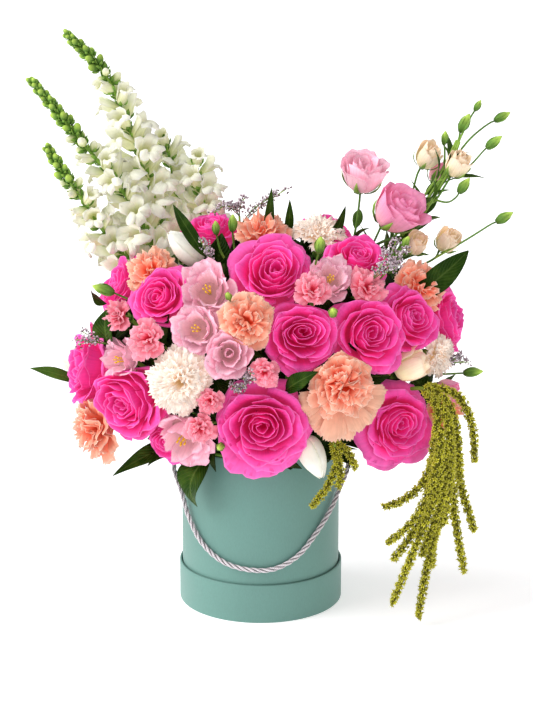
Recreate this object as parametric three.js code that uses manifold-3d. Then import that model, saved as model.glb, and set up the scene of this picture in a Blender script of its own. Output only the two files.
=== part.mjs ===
// Mixed flower box: a round card box standing in its own lid, filled with wet foam and a front-facing
// arrangement. Millimetres, +Z up, the box axis on Z, the viewer on -Y, the floor at z = 0.
import * as THREE from 'three';
import Module from 'manifold-3d';

const wasm = await Module();
wasm.setup();

// Driving dimensions of the box and what it holds
const BODY_RADIUS = 80;
const BODY_WALL = 2;
const BODY_FLOOR = 2.5;
const BODY_TOP = 170;
const LID_RADIUS = 83;
const LID_WALL = 2.2;
const LID_FLOOR = 2.5;
const LID_HEIGHT = 40;
const FIT_GAP = 0.3;
const BOX_SIDES = 40;
const LINER_RADIUS = 67.8;
const LINER_WALL = 1;
const LINER_TOP = 130;
const FOAM_RADIUS = 65.4;
const FOAM_TOP = 204;
const FOAM_CHAMFER = 14;
const FOAM_SIDES = 12;
const LINER_SIDES = 20;

// Driving dimensions of the cord
const CORD_RADIUS = 2.5;
const CORD_EXIT_Z = 150;
const CORD_STEPS = 27;
const CORD_SIDES = 8;
const KNOT_RADIUS = 5.2;
const HOLE_RADIUS = 3.3;

// Driving dimensions of the plants
const ROSE_STEM = 1.9;
const THIN_STEM = 1.4;
const STEM_CLEAR = 0.6;
const ROOT_RADIUS = 40;
const ROOT_Z = 178;
const LOW_ROOT_Z = 168;
const BLOOM_SCALE = 1.08;
const CELL_GAP = 0.3;
const CELL_KNEE = 0.76;
const LEAF_THICK = 1.3;

const group = new THREE.Group();
group.name = 'mixed_flower_box';

// Colours
const TEAL = 0x86bdb0;
const FOAM_GREEN = 0x4f6f3a;
const LINER_GREY = 0x2f3330;
const SILVER = 0xb9b2b8;
const HOT_PINK = 0xe0349a;
const PEACH = 0xf6b498;
const CREAM = 0xf5e6d6;
const PALE_PINK = 0xedb9c8;
const SPRAY_PINK = 0xee8ea6;
const WHITE = 0xf2f1e4;
const OLIVE = 0xa7a23a;
const LILAC = 0x9a8794;
const GREEN = 0x3f6a36;

// Seeded random draws
function seeded(seed) {
  let a = seed >>> 0;
  return () => {
    a = (a + 0x6d2b79f5) >>> 0;
    let t = a;
    t = Math.imul(t ^ (t >>> 15), t | 1);
    t ^= t + Math.imul(t ^ (t >>> 7), t | 61);
    return ((t ^ (t >>> 14)) >>> 0) / 4294967296;
  };
}

function V(x, y, z) {
  return new THREE.Vector3(x, y, z);
}

// Direction for an azimuth (0 faces the viewer, 90 faces right) and a height angle
function aim(azimuth, height) {
  const a = THREE.MathUtils.degToRad(azimuth);
  const h = THREE.MathUtils.degToRad(height);
  return V(Math.sin(a) * Math.cos(h), -Math.cos(a) * Math.cos(h), Math.sin(h));
}

// Two directions across a given one
function across(direction) {
  const up = Math.abs(direction.z) > 0.97 ? V(0, 1, 0) : V(0, 0, 1);
  const u = V(0, 0, 0).crossVectors(up, direction).normalize();
  const v = V(0, 0, 0).crossVectors(direction, u).normalize();
  return [u, v];
}

// Closed surface through loops of equal point count, with a point at each end
function loft(first, rings, last) {
  const n = rings[0].length;
  const points = [first];
  rings.forEach((ring) => points.push(...ring));
  points.push(last);
  const triangles = [];
  const at = (r, j) => 1 + r * n + (j % n);
  for (let j = 0; j < n; j += 1) {
    triangles.push([0, at(0, j), at(0, j + 1)]);
    for (let r = 0; r + 1 < rings.length; r += 1) {
      triangles.push([at(r, j), at(r + 1, j), at(r + 1, j + 1)]);
      triangles.push([at(r, j), at(r + 1, j + 1), at(r, j + 1)]);
    }
    const e = rings.length - 1;
    triangles.push([at(e, j), points.length - 1, at(e, j + 1)]);
  }
  let volume = 0;
  triangles.forEach(([a, b, c]) => {
    volume += points[a].dot(V(0, 0, 0).crossVectors(points[b], points[c]));
  });
  if (volume < 0) triangles.forEach((t) => t.reverse());
  return { points, triangles };
}

function solid(shape) {
  const vertProperties = new Float32Array(shape.points.length * 3);
  shape.points.forEach((p, i) => vertProperties.set([p.x, p.y, p.z], i * 3));
  const triVerts = new Uint32Array(shape.triangles.flat());
  return new wasm.Manifold(new wasm.Mesh({ numProp: 3, vertProperties, triVerts }));
}

function joined(shapes) {
  let whole = solid(shapes[0]);
  for (let i = 1; i < shapes.length; i += 1) whole = whole.add(solid(shapes[i]));
  return whole;
}

function addMesh(name, positions, indices, colour, roughness) {
  const geometry = new THREE.BufferGeometry();
  geometry.setAttribute('position', new THREE.Float32BufferAttribute(positions, 3));
  if (indices) geometry.setIndex(Array.from(indices));
  geometry.computeVertexNormals();
  const material = new THREE.MeshStandardMaterial({ color: colour, roughness, metalness: 0 });
  material.name = name;
  const mesh = new THREE.Mesh(geometry, material);
  mesh.name = name;
  group.add(mesh);
  return mesh;
}

function addShape(name, shape, colour, roughness = 0.7) {
  const flat = shape.points.flatMap((p) => [p.x, p.y, p.z]);
  return addMesh(name, flat, shape.triangles.flat(), colour, roughness);
}

function addSolid(name, manifold, colour, roughness = 0.7) {
  const m = manifold.getMesh();
  return addMesh(name, Array.from(m.vertProperties), m.triVerts, colour, roughness);
}

// Ring of points about an axis, square to a direction
function ringAt(centre, direction, radius, n, turn = 0) {
  const [u, v] = across(direction);
  return Array.from({ length: n }, (_, j) => {
    const a = turn + (2 * Math.PI * j) / n;
    return centre.clone().addScaledVector(u, radius * Math.cos(a)).addScaledVector(v, radius * Math.sin(a));
  });
}

// Round stem along a line of points, its frame carried along without twist
function stem(points, radii, n = 5) {
  const rings = [];
  let u = null;
  points.forEach((p, i) => {
    const before = points[Math.max(i - 1, 0)];
    const after = points[Math.min(i + 1, points.length - 1)];
    const t = after.clone().sub(before).normalize();
    if (!u) [u] = across(t);
    u = u.clone().addScaledVector(t, -u.dot(t)).normalize();
    const v = V(0, 0, 0).crossVectors(t, u);
    rings.push(Array.from({ length: n }, (_, j) => {
      const a = (2 * Math.PI * j) / n;
      const r = radii[i];
      return p.clone().addScaledVector(u, r * Math.cos(a)).addScaledVector(v, r * Math.sin(a));
    }));
  });
  return loft(points[0].clone(), rings, points[points.length - 1].clone());
}

// Cup turned about the box axis: outside, rim, inside and both floors
function cup(outer, inner, bottom, floor, top, sides) {
  const ring = (r, z) => Array.from({ length: sides }, (_, j) => {
    const a = (2 * Math.PI * (j + 0.5)) / sides;
    return V(r * Math.cos(a), r * Math.sin(a), z);
  });
  const rings = [
    ring(outer, bottom),
    ring(outer, top),
    ring(inner, top),
    ring(inner, bottom + floor),
  ];
  return loft(V(0, 0, bottom), rings, V(0, 0, bottom + floor));
}

// Box body, with a plain hole each side for the cord
const bodyBottom = LID_FLOOR + FIT_GAP;
let body = solid(cup(BODY_RADIUS, BODY_RADIUS - BODY_WALL, bodyBottom, BODY_FLOOR, BODY_TOP, BOX_SIDES));
[-1, 1].forEach((side) => {
  const from = V(side * (BODY_RADIUS - 8), 0, CORD_EXIT_Z);
  const to = V(side * (BODY_RADIUS + 8), 0, CORD_EXIT_Z);
  body = body.subtract(solid(stem([from, to], [HOLE_RADIUS, HOLE_RADIUS], 8)));
});
addSolid('box_body', body, TEAL, 0.55);
addShape('box_lid', cup(LID_RADIUS, LID_RADIUS - LID_WALL, 0, LID_FLOOR, LID_HEIGHT, BOX_SIDES), TEAL, 0.55);
const linerBottom = bodyBottom + BODY_FLOOR + FIT_GAP;
addShape(
  'foam_liner',
  cup(LINER_RADIUS, LINER_RADIUS - LINER_WALL, linerBottom, 1.2, LINER_TOP, LINER_SIDES),
  LINER_GREY,
  0.4,
);

// The cord's line: out of one hole, down across the front of the box and into the other
function cordPoint(azimuth, radius, z) {
  const a = THREE.MathUtils.degToRad(azimuth);
  return V(radius * Math.sin(a), -radius * Math.cos(a), z);
}
const cordEnd = BODY_RADIUS - BODY_WALL - 0.4;
const cordLay = BODY_RADIUS + CORD_RADIUS + 0.6;
const cordLine = new THREE.CatmullRomCurve3([
  cordPoint(-90, cordEnd, CORD_EXIT_Z),
  cordPoint(-90, BODY_RADIUS + 3, CORD_EXIT_Z),
  cordPoint(-89, BODY_RADIUS + 7.5, CORD_EXIT_Z - 2.2),
  cordPoint(-83, BODY_RADIUS + 8, CORD_EXIT_Z - 12),
  cordPoint(-70, cordLay + 2, 122),
  cordPoint(-59, cordLay + 1, 99),
  cordPoint(-45, cordLay, 77),
  cordPoint(-27, cordLay, 62.5),
  cordPoint(-9, cordLay, 57),
  cordPoint(9, cordLay, 57.5),
  cordPoint(26, cordLay, 68),
  cordPoint(42, cordLay, 88),
  cordPoint(58, cordLay + 1, 109),
  cordPoint(72, cordLay + 2, 126),
  cordPoint(83, BODY_RADIUS + 8.5, CORD_EXIT_Z - 12),
  cordPoint(89, BODY_RADIUS + 8, CORD_EXIT_Z - 2.2),
  cordPoint(90, BODY_RADIUS + 3, CORD_EXIT_Z),
  cordPoint(90, cordEnd, CORD_EXIT_Z),
], false, 'centripetal');
const cordSection = new THREE.Shape();
for (let i = 0; i < CORD_SIDES; i += 1) {
  const a = (2 * Math.PI * i) / CORD_SIDES;
  if (i === 0) cordSection.moveTo(CORD_RADIUS, 0);
  else cordSection.lineTo(CORD_RADIUS * Math.cos(a), CORD_RADIUS * Math.sin(a));
}
cordSection.closePath();
const cordGeometry = new THREE.ExtrudeGeometry(cordSection, {
  steps: CORD_STEPS,
  curveSegments: 1,
  bevelEnabled: false,
  extrudePath: cordLine,
});
const cordMaterial = new THREE.MeshStandardMaterial({ color: SILVER, roughness: 0.6, metalness: 0 });
const cordMesh = new THREE.Mesh(cordGeometry, cordMaterial);
cordMesh.name = 'handle_cord';
group.add(cordMesh);
[['knot_left', -1], ['knot_right', 1]].forEach(([name, side]) => {
  const centre = V(side * (cordEnd - 0.4 - KNOT_RADIUS), 0, CORD_EXIT_Z);
  const out = V(side, 0, 0);
  const rings = [0.84, 0, -0.84].map((t) => {
    const c = centre.clone().addScaledVector(out, KNOT_RADIUS * t);
    return ringAt(c, out, KNOT_RADIUS * Math.sqrt(1 - t * t * 0.93), 8);
  });
  const first = centre.clone().addScaledVector(out, KNOT_RADIUS);
  const last = centre.clone().addScaledVector(out, -KNOT_RADIUS);
  addShape(name, loft(first, rings, last), SILVER, 0.6);
});

// Profiles of the bloom kinds, as fractions of the radius: [across, along the axis, wave, kind of wave]
// A wave of 1 is a petal lobe, 2 is a ruffle; its turn alternates ring by ring.
const ROSE = {
  lobes: 5,
  tip: 0.2,
  rings: [
    [0.13, 0.29, 0.1, 0], [0.2, 0.12, 0, 0],
    [0.36, 0.28, 0.08, 1], [0.42, 0.06, 0, 0],
    [0.62, 0.2, 0.08, 2], [0.68, -0.04, 0, 0],
    [0.98, 0.02, 0.08, 3], [0.56, -0.56, 0, 0],
  ],
  base: [0.11, -0.98],
};
const ROSE_PLAIN = {
  lobes: 5,
  tip: 0.28,
  rings: [
    [0.3, 0.3, 0.1, 1], [0.4, 0.08, 0, 0],
    [0.64, 0.2, 0.08, 2], [0.7, -0.04, 0, 0],
    [0.98, 0.02, 0.08, 3], [0.48, -0.66, 0, 0],
  ],
  base: [0.11, -0.98],
};
const CARNATION = {
  lobes: 0,
  tip: 0.3,
  rings: [
    [0.24, 0.4, 0.16, 1], [0.36, 0.2, 0, 0],
    [0.54, 0.33, 0.12, 2], [0.62, 0.08, 0, 0],
    [0.84, 0.12, 0.1, 1], [0.98, -0.12, 0.08, 2],
    [0.5, -0.42, 0, 0],
  ],
  base: [0.15, -0.95],
};
const CARNATION_PLAIN = {
  lobes: 0,
  tip: 0.36,
  rings: [
    [0.36, 0.38, 0.14, 1], [0.48, 0.14, 0, 0],
    [0.74, 0.24, 0.12, 2], [0.78, 0, 0, 0],
    [0.98, -0.08, 0.08, 1], [0.48, -0.42, 0, 0],
  ],
  base: [0.15, -0.95],
};
const SPRAY = {
  lobes: 0,
  tip: 0.34,
  rings: [[0.42, 0.36, 0.14, 1], [0.6, 0.1, 0, 0], [0.96, 0.06, 0.1, 2], [0.36, -0.46, 0, 0]],
  base: [0.15, -1],
};
const TRUMPET = {
  lobes: 5,
  tip: -0.12,
  rings: [
    [0.13, -0.16, 0, 0], [0.26, -0.44, 0, 0],
    [0.62, -0.04, 0, 0], [0.97, 0.14, 0.09, 1],
    [0.82, -0.18, 0.05, 1], [0.42, -0.7, 0, 0],
  ],
  base: [0.13, -1],
};
const GOBLET = {
  lobes: 5,
  tip: 0.1,
  rings: [
    [0.26, 0.26, 0.1, 0], [0.4, 0.06, 0, 0],
    [0.66, 0.3, 0.08, 1], [0.72, 0.1, 0, 0],
    [0.98, 0.34, 0.06, 2], [0.92, -0.2, 0, 0],
    [0.6, -0.78, 0, 0],
  ],
  base: [0.14, -1.08],
};
const CUPLET = {
  lobes: 4,
  tip: 0.16,
  rings: [[0.5, 0.36, 0.08, 0], [0.96, 0.24, 0.08, 2], [0.7, -0.7, 0, 0]],
  base: [0.16, -1.08],
};
const BUD = {
  lobes: 0,
  tip: 1,
  rings: [[0.66, 0.45, 0, 1], [0.9, -0.6, 0, 2]],
  base: [0.16, -1.3],
};
const TULIP = {
  lobes: 0,
  tip: 1.9,
  rings: [[0.42, 1.5, 0.2, 1], [0.88, 0.7, 0.06, 2], [1, -0.1, 0.04, 1], [0.74, -0.9, 0, 0]],
  base: [0.16, -1.25],
};

// The blooms: name, kind, sides, middle of the face, width, facing azimuth and height, stem's root if set
const BLOOMS = [
  ['rose_top', ROSE, 15, [11, -76, 362], 74, 2, 42],
  ['rose_middle', ROSE, 10, [40, -114, 307], 72, 8, 18],
  ['rose_middle_right', ROSE, 10, [108, -94, 304], 74, 22, 16],
  ['rose_right', ROSE, 10, [148, -62, 309], 66, 38, 20],
  ['rose_upper_left', ROSE, 10, [-97, -76, 336], 60, -20, 24],
  ['rose_upper_right', ROSE, 10, [94, -30, 364], 60, 15, 52],
  ['rose_low_left', ROSE, 15, [-134, -80, 230], 84, -38, -2],
  ['rose_front', ROSE, 15, [3, -126, 220], 86, 0, 8],
  ['rose_low_right', ROSE, 10, [137, -82, 207], 72, 20, 2],
  ['rose_left_side', ROSE, 10, [-176, -26, 248], 84, -76, 6],
  ['rose_right_side', ROSE, 10, [190, -8, 295], 64, 72, 14, [-4, 12, -6]],
  ['rose_left_behind', ROSE_PLAIN, 10, [-142, -4, 330], 62, -75, 40],
  ['rose_top_left', ROSE_PLAIN, 10, [-50, 16, 384], 58, -30, 75],
  ['rose_top_right', ROSE_PLAIN, 10, [74, 50, 374], 54, 80, 64],
  ['rose_under_left', ROSE_PLAIN, 10, [-92, -77, 190], 52, -30, -16],
  ['rose_back', ROSE, 10, [62, 84, 292], 72, 165, 18, [-10, 10, -6]],
  ['carnation_peach_top', CARNATION_PLAIN, 10, [2, -6, 382], 60, 0, 78],
  ['carnation_peach_middle', CARNATION, 10, [-13, -110, 320], 60, -5, 24],
  ['carnation_peach_front', CARNATION, 12, [78, -118, 253], 78, 12, 4],
  ['carnation_peach_upper_left', CARNATION_PLAIN, 8, [-106, -42, 352], 54, -28, 44],
  ['carnation_peach_low_left', CARNATION, 10, [-161, -50, 194], 72, -58, -14],
  ['carnation_peach_right', CARNATION, 10, [156, -20, 330], 62, 42, 40],
  ['carnation_peach_low_right', CARNATION_PLAIN, 8, [182, -32, 208], 56, 52, -2],
  ['carnation_peach_back_left', CARNATION_PLAIN, 10, [-72, 84, 292], 66, -160, 18, [6, 8, -6]],
  ['carnation_peach_back_right', CARNATION_PLAIN, 10, [128, 58, 240], 66, 132, 4, [-6, 12, -10]],
  ['carnation_cream_left', CARNATION, 12, [-76, -108, 260], 74, -16, 4],
  ['carnation_cream_top', CARNATION_PLAIN, 10, [58, 4, 380], 58, 10, 76],
  ['carnation_cream_right', CARNATION_PLAIN, 8, [176, -36, 266], 48, 50, 4],
  ['carnation_cream_back', CARNATION_PLAIN, 10, [-30, 90, 232], 68, 185, 4],
];

// Blooms that share a node: the second and later ones join the first one's stem
const SHARED = [
  ['lisianthus_upper_left', TRUMPET, 8, [
    [[-51, -86, 346], 50, -10, 30], [[-62, -106, 312], 46, -15, 20], [[-30, -120, 291], 44, 0, 14],
  ]],
  ['lisianthus_upper_right', TRUMPET, 10, [[[68, -74, 354], 42, 10, 38]]],
  ['lisianthus_low_left', TRUMPET, 10, [[[-140, -68, 270], 42, -45, 12], [[-77, -92, 194], 56, -18, -16]]],
  ['spray_carnations_left', SPRAY, 8, [
    [[-108, -94, 298], 44, -25, 15], [[-139, -54, 311], 36, -50, 25],
  ]],
  ['spray_carnations_low', SPRAY, 8, [
    [[-48, -120, 244], 30, -8, 5], [[4, -124, 274], 32, 0, 8], [[-58, -120, 217], 34, -8, 4],
  ]],
  ['spray_carnations_right', SPRAY, 8, [
    [[103, -68, 343], 42, 20, 38, [-9, 7, 0]], [[50, -94, 346], 40, 5, 38],
  ]],
  ['lisianthus_buds_right', GOBLET, 8, [
    [[152, -72, 266], 36, 28, 8], [[190, -42, 230], 24, 60, -10],
  ]],
  ['tulip_upper_left', TULIP, 8, [[[-68, -32, 369], 26, -88, 42]]],
  ['tulip_front', TULIP, 8, [[[48, -102, 189], 26, 60, -62]]],
  ['tulip_left_side', TULIP, 8, [[[-184, 24, 240], 26, -100, 18]]],
];

// One bloom: its cell centre, and the loops of its profile
function makeHead(node, kind, sides, place, width, azimuth, height, shift = [0, 0, 0]) {
  const radius = (width / 2) * BLOOM_SCALE;
  const facing = aim(azimuth, height);
  const face = V(...place);
  const depth = kind === TULIP ? 0.3 : -0.25;
  const centre = face.clone().addScaledVector(facing, depth * radius);
  return { node, kind, sides, radius, facing, face, centre, shift: V(...shift) };
}

const heads = [];
BLOOMS.forEach((row) => heads.push(makeHead(...row)));
SHARED.forEach(([node, kind, sides, members]) => {
  members.forEach((member) => heads.push(makeHead(node, kind, sides, ...member)));
});

// Each bloom keeps inside its own cell, bounded by the planes between it and its neighbours
heads.forEach((head) => {
  head.planes = [];
  heads.forEach((other) => {
    if (other === head) return;
    const gap = other.centre.clone().sub(head.centre);
    const distance = gap.length();
    const normal = gap.divideScalar(distance);
    const share = head.radius / (head.radius + other.radius);
    head.planes.push({ normal, limit: distance * share - CELL_GAP });
  });
});

function intoCell(head, point) {
  const offset = point.clone().sub(head.centre);
  const reach = offset.length();
  if (reach < 1e-6) return point.clone();
  const u = offset.divideScalar(reach);
  let limit = Infinity;
  head.planes.forEach(({ normal, limit: m }) => {
    const c = u.dot(normal);
    if (c > 1e-3) limit = Math.min(limit, m / c);
  });
  const knee = CELL_KNEE * limit;
  if (reach <= knee) return point.clone();
  const rest = limit - knee;
  const pressed = knee + rest * (1 - Math.exp(-(reach - knee) / rest));
  return head.centre.clone().addScaledVector(u, pressed);
}

function headLoops(head) {
  const { kind, sides, radius, facing, face } = head;
  const [u, v] = across(facing);
  const loops = kind.rings.map(([r, h, wave, turn]) => (
    Array.from({ length: sides }, (_, j) => {
      const a = (2 * Math.PI * j) / sides;
      const lobe = kind.lobes
        ? Math.cos(kind.lobes * a + turn * Math.PI * 0.62)
        : (j + turn) % 2 === 0 ? 1 : -1;
      const rr = radius * r * (1 + wave * lobe);
      const hh = radius * (h + wave * 0.6 * lobe);
      const p = face.clone()
        .addScaledVector(u, rr * Math.cos(a))
        .addScaledVector(v, rr * Math.sin(a))
        .addScaledVector(facing, hh);
      return intoCell(head, p);
    })
  ));
  const tip = intoCell(head, face.clone().addScaledVector(facing, kind.tip * radius));
  return { tip, loops };
}

// Where a stem ends in the foam
function rootOf(base) {
  const r = Math.hypot(base.x, base.y);
  const low = base.z < 236;
  const reach = Math.min(ROOT_RADIUS, 6 + r * 0.34);
  return V((base.x / r) * reach, (base.y / r) * reach, low ? LOW_ROOT_Z : ROOT_Z);
}

const stemLines = [];
function headShape(head, end, stemRadius) {
  const { tip, loops } = headLoops(head);
  const [r, h] = head.kind.base;
  const base = head.face.clone().addScaledVector(head.facing, h * head.radius);
  const away = base.clone().sub(end).normalize();
  const neck = base.clone().addScaledVector(head.facing, -1);
  const turnTo = head.facing.clone().add(away).normalize();
  const neckRadius = Math.max(r * head.radius, stemRadius + 0.6);
  const neckRing = ringMatch(neck, turnTo, head, neckRadius);
  const endRing = ringMatch(end, away, head, stemRadius);
  stemLines.push({ node: head.node, from: neck, to: end, radius: stemRadius, neckRadius });
  return loft(tip, [...loops, neckRing, endRing], end.clone().addScaledVector(away, -0.2));
}

// Ring square to a direction, its points in step with the bloom's own
function ringMatch(centre, direction, head, radius) {
  const [hu] = across(head.facing);
  const u = hu.clone().addScaledVector(direction, -hu.dot(direction)).normalize();
  const v = V(0, 0, 0).crossVectors(direction, u);
  return Array.from({ length: head.sides }, (_, j) => {
    const a = (2 * Math.PI * j) / head.sides;
    return centre.clone().addScaledVector(u, radius * Math.cos(a)).addScaledVector(v, radius * Math.sin(a));
  });
}

const COLOUR_OF = {
  rose: HOT_PINK,
  carnation_peach: PEACH,
  carnation_cream: CREAM,
  lisianthus: PALE_PINK,
  spray: SPRAY_PINK,
  tulip: WHITE,
};
function colourFor(name) {
  const key = Object.keys(COLOUR_OF).find((k) => name.startsWith(k));
  return COLOUR_OF[key];
}

const nodes = [...new Set(heads.map((h) => h.node))];
nodes.forEach((node) => {
  const members = heads.filter((h) => h.node === node);
  const radius = node.startsWith('rose') ? ROSE_STEM : THIN_STEM;
  const shapes = [];
  let trunk = null;
  members.forEach((head) => {
    const base = head.face.clone().addScaledVector(head.facing, (head.kind.base[1] - 0.1) * head.radius);
    if (!trunk) {
      const root = rootOf(base).add(head.shift);
      trunk = { root, base };
      shapes.push(headShape(head, root, radius));
      stemLines[stemLines.length - 1].rooted = true;
    } else {
      const joint = trunk.root.clone().lerp(trunk.base, 0.42);
      shapes.push(headShape(head, joint, radius));
    }
  });
  if (shapes.length === 1) addShape(node, shapes[0], colourFor(node));
  else addSolid(node, joined(shapes), colourFor(node));
});


// True when a point keeps a margin from every bloom, stem, spike, the box, the foam and the cord
function profileOf(kind) {
  const rows = [[0, kind.tip], ...kind.rings.map(([r, h]) => [r, h]), kind.base];
  return rows.slice(1).map((row, i) => {
    const before = rows[i];
    return {
      reach: Math.max(row[0], before[0]) * 1.08,
      low: Math.min(row[1], before[1]),
      high: Math.max(row[1], before[1]),
    };
  });
}
const PROFILES = new Map();
function insideHead(point, head, margin) {
  if (point.distanceTo(head.centre) > head.radius * 2.4 + margin) return false;
  if (!PROFILES.has(head.kind)) PROFILES.set(head.kind, profileOf(head.kind));
  const w = point.clone().sub(head.face);
  const h = w.dot(head.facing);
  const r = w.addScaledVector(head.facing, -h).length();
  return PROFILES.get(head.kind).some(({ reach, low, high }) => (
    h > low * head.radius - margin && h < high * head.radius + margin && r < reach * head.radius + margin
  ));
}
function nearStem(point, line, margin) {
  const along = line.to.clone().sub(line.from);
  const t = THREE.MathUtils.clamp(point.clone().sub(line.from).dot(along) / along.lengthSq(), 0, 1);
  const r = line.neckRadius + (line.radius - line.neckRadius) * t;
  return point.distanceTo(line.from.clone().addScaledVector(along, t)) < r + margin;
}
const cordPoints = cordLine.getSpacedPoints(60);
const tubes = [];
function isFree(point, margin, node) {
  const r = Math.hypot(point.x, point.y);
  if (point.z < margin) return false;
  if (point.z < LID_HEIGHT + margin && r < LID_RADIUS + margin) return false;
  if (point.z < BODY_TOP + margin && r < BODY_RADIUS + margin) return false;
  if (point.z < FOAM_TOP + margin && r < FOAM_RADIUS + margin) return false;
  if (cordPoints.some((c) => c.distanceTo(point) < CORD_RADIUS + 3 + margin)) return false;
  if (heads.some((head) => head.node !== node && insideHead(point, head, margin))) return false;
  if (tubes.some((tube) => tube.node !== node && point.distanceTo(tube.at) < tube.radius + margin)) return false;
  return !stemLines.some((line) => line.node !== node && nearStem(point, line, margin));
}

// Keeps the room a tube takes, as balls along its line
function claim(node, curve, radiusAt, count) {
  for (let i = 0; i <= count; i += 1) {
    const t = i / count;
    tubes.push({ node, at: curve.getPoint(t), radius: radiusAt(t) });
  }
}

function curveThrough(points) {
  return new THREE.CatmullRomCurve3(points.map((p) => V(...p)), false, 'centripetal');
}

function plainStem(points, from, to, steps, n = 4) {
  const curve = curveThrough(points);
  const line = Array.from({ length: steps + 1 }, (_, i) => curve.getPoint(i / steps));
  const radii = line.map((_, i) => from + (to - from) * (i / steps));
  return stem(line, radii, n);
}

// A stem from the foam: it is straight in its hole
function rootedStem(node, root, points, from, to, steps, n = 5) {
  const first = V(...points[0]);
  stemLines.push({ node, from: first, to: V(...root), radius: from, neckRadius: from, rooted: true });
  const curve = curveThrough(points);
  const line = [V(...root)];
  for (let i = 0; i <= steps; i += 1) line.push(curve.getPoint(i / steps));
  const radii = line.map((_, i) => from + (to - from) * (i / (steps + 1)));
  return stem(line, radii, n);
}

// Tall spikes: a stem whose surface swells into florets, three to a whorl, small buds at the tip.
// Each row: name, root in the foam, the line above it, where the florets start, the widest floret
const SPIKES = [
  ['snapdragon_tallest', [-29, 20, ROOT_Z],
    [[-58, 34, 262], [-88, 46, 350], [-110, 56, 408], [-133, 62, 478], [-156, 67, 529], [-192, 70, 567]], 0.2, 29],
  ['snapdragon_second', [-35, 13, ROOT_Z],
    [[-64, 24, 262], [-100, 34, 345], [-136, 38, 412], [-180, 40, 467], [-225, 40, 525]], 0.24, 25],
  ['snapdragon_lowest', [-39, 5, ROOT_Z],
    [[-70, 14, 262], [-112, 38, 324], [-150, 42, 362], [-180, 26, 412], [-210, 20, 461]], 0.24, 24],
  ['snapdragon_middle', [-8, 30, ROOT_Z],
    [[-32, 56, 290], [-60, 74, 356], [-86, 80, 415], [-98, 84, 462]], 0.34, 26],
  ['snapdragon_short', [-20, 22, ROOT_Z],
    [[-34, 42, 290], [-50, 58, 360], [-60, 64, 405], [-66, 68, 446]], 0.46, 24],
];
const spikeCurves = SPIKES.map(([name, , line]) => ({ name, curve: curveThrough(line) }));
spikeCurves.forEach((spike) => {
  spike.samples = spike.curve.getSpacedPoints(40);
});

function spikeShape([name, root, line, start, widest]) {
  const { curve } = spikeCurves.find((s) => s.name === name);
  const length = curve.getLength();
  stemLines.push({
    node: name, from: V(...line[0]), to: V(...root), radius: THIN_STEM, neckRadius: 2, rooted: true,
  });
  const rings = [];
  const n = 6;
  let u = V(1, 0, 0);
  const axis = [V(...root), V(...line[0])];
  const pushRing = (p, t, radii) => {
    u = u.clone().addScaledVector(t, -u.dot(t)).normalize();
    const v = V(0, 0, 0).crossVectors(t, u);
    rings.push(radii.map((r, j) => {
      const a = (2 * Math.PI * j) / n;
      return p.clone().addScaledVector(u, r * Math.cos(a)).addScaledVector(v, r * Math.sin(a));
    }));
  };
  const down = axis[1].clone().sub(axis[0]).normalize();
  pushRing(axis[0], down, Array(n).fill(THIN_STEM));
  pushRing(axis[1].clone().addScaledVector(down, -1), down, Array(n).fill(2));
  const whorls = Math.round((length * (1 - start)) / 19);
  for (let k = 0; k <= whorls; k += 1) {
    const q = k / whorls;
    const s = start + (0.985 - start) * q;
    const size = q < 0.5 ? 1 - 0.12 * q : (0.94 * (1.06 - q)) / 0.56;
    const floret = Math.max(widest * size * (k === 0 ? 0.7 : 1), 4.2);
    const lean = Math.min(floret * 0.35, 7);
    const waist = curve.getPointAt(Math.max(s - 0.4 / (whorls / (1 - start)), 0.01));
    const p = curve.getPointAt(s);
    const t = curve.getTangentAt(s);
    pushRing(waist, t, Array(n).fill(Math.max(floret * 0.3, 2.2)));
    u = u.clone().addScaledVector(t, -u.dot(t)).normalize();
    const v = V(0, 0, 0).crossVectors(t, u);
    const others = spikeCurves.filter((o) => o.name !== name).flatMap((o) => o.samples);
    const room = Math.min(...others.map((o) => o.distanceTo(p))) * 0.48 - 0.6;
    const ring = Array.from({ length: n }, (_, j) => {
      const a = (2 * Math.PI * j) / n;
      const out = u.clone().multiplyScalar(Math.cos(a)).addScaledVector(v, Math.sin(a));
      let r = Math.min((j + k) % 2 === 0 ? floret : floret * 0.62, Math.max(room, 3.6));
      const lift = Math.min(lean, r * 0.3) * ((j + k) % 2 === 0 ? 1 : 0);
      let point = p.clone().addScaledVector(out, r).addScaledVector(t, lift);
      while (r > 3 && !isFree(point, 2.2, name)) {
        r *= 0.86;
        point = p.clone().addScaledVector(out, r).addScaledVector(t, lift);
      }
      return point;
    });
    rings.push(ring);
  }
  claim(name, curve, () => 3, 40);
  return loft(V(...root), rings, curve.getPointAt(1));
}
SPIKES.forEach((row) => addShape(row[0], spikeShape(row), WHITE));
SPIKES.forEach(([name, , , start, widest]) => {
  const { curve } = spikeCurves.find((s) => s.name === name);
  claim(name, curve, (t) => (t < start ? 3 : widest * (t < 0.75 ? 0.8 : 0.4)), 30);
});

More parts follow.
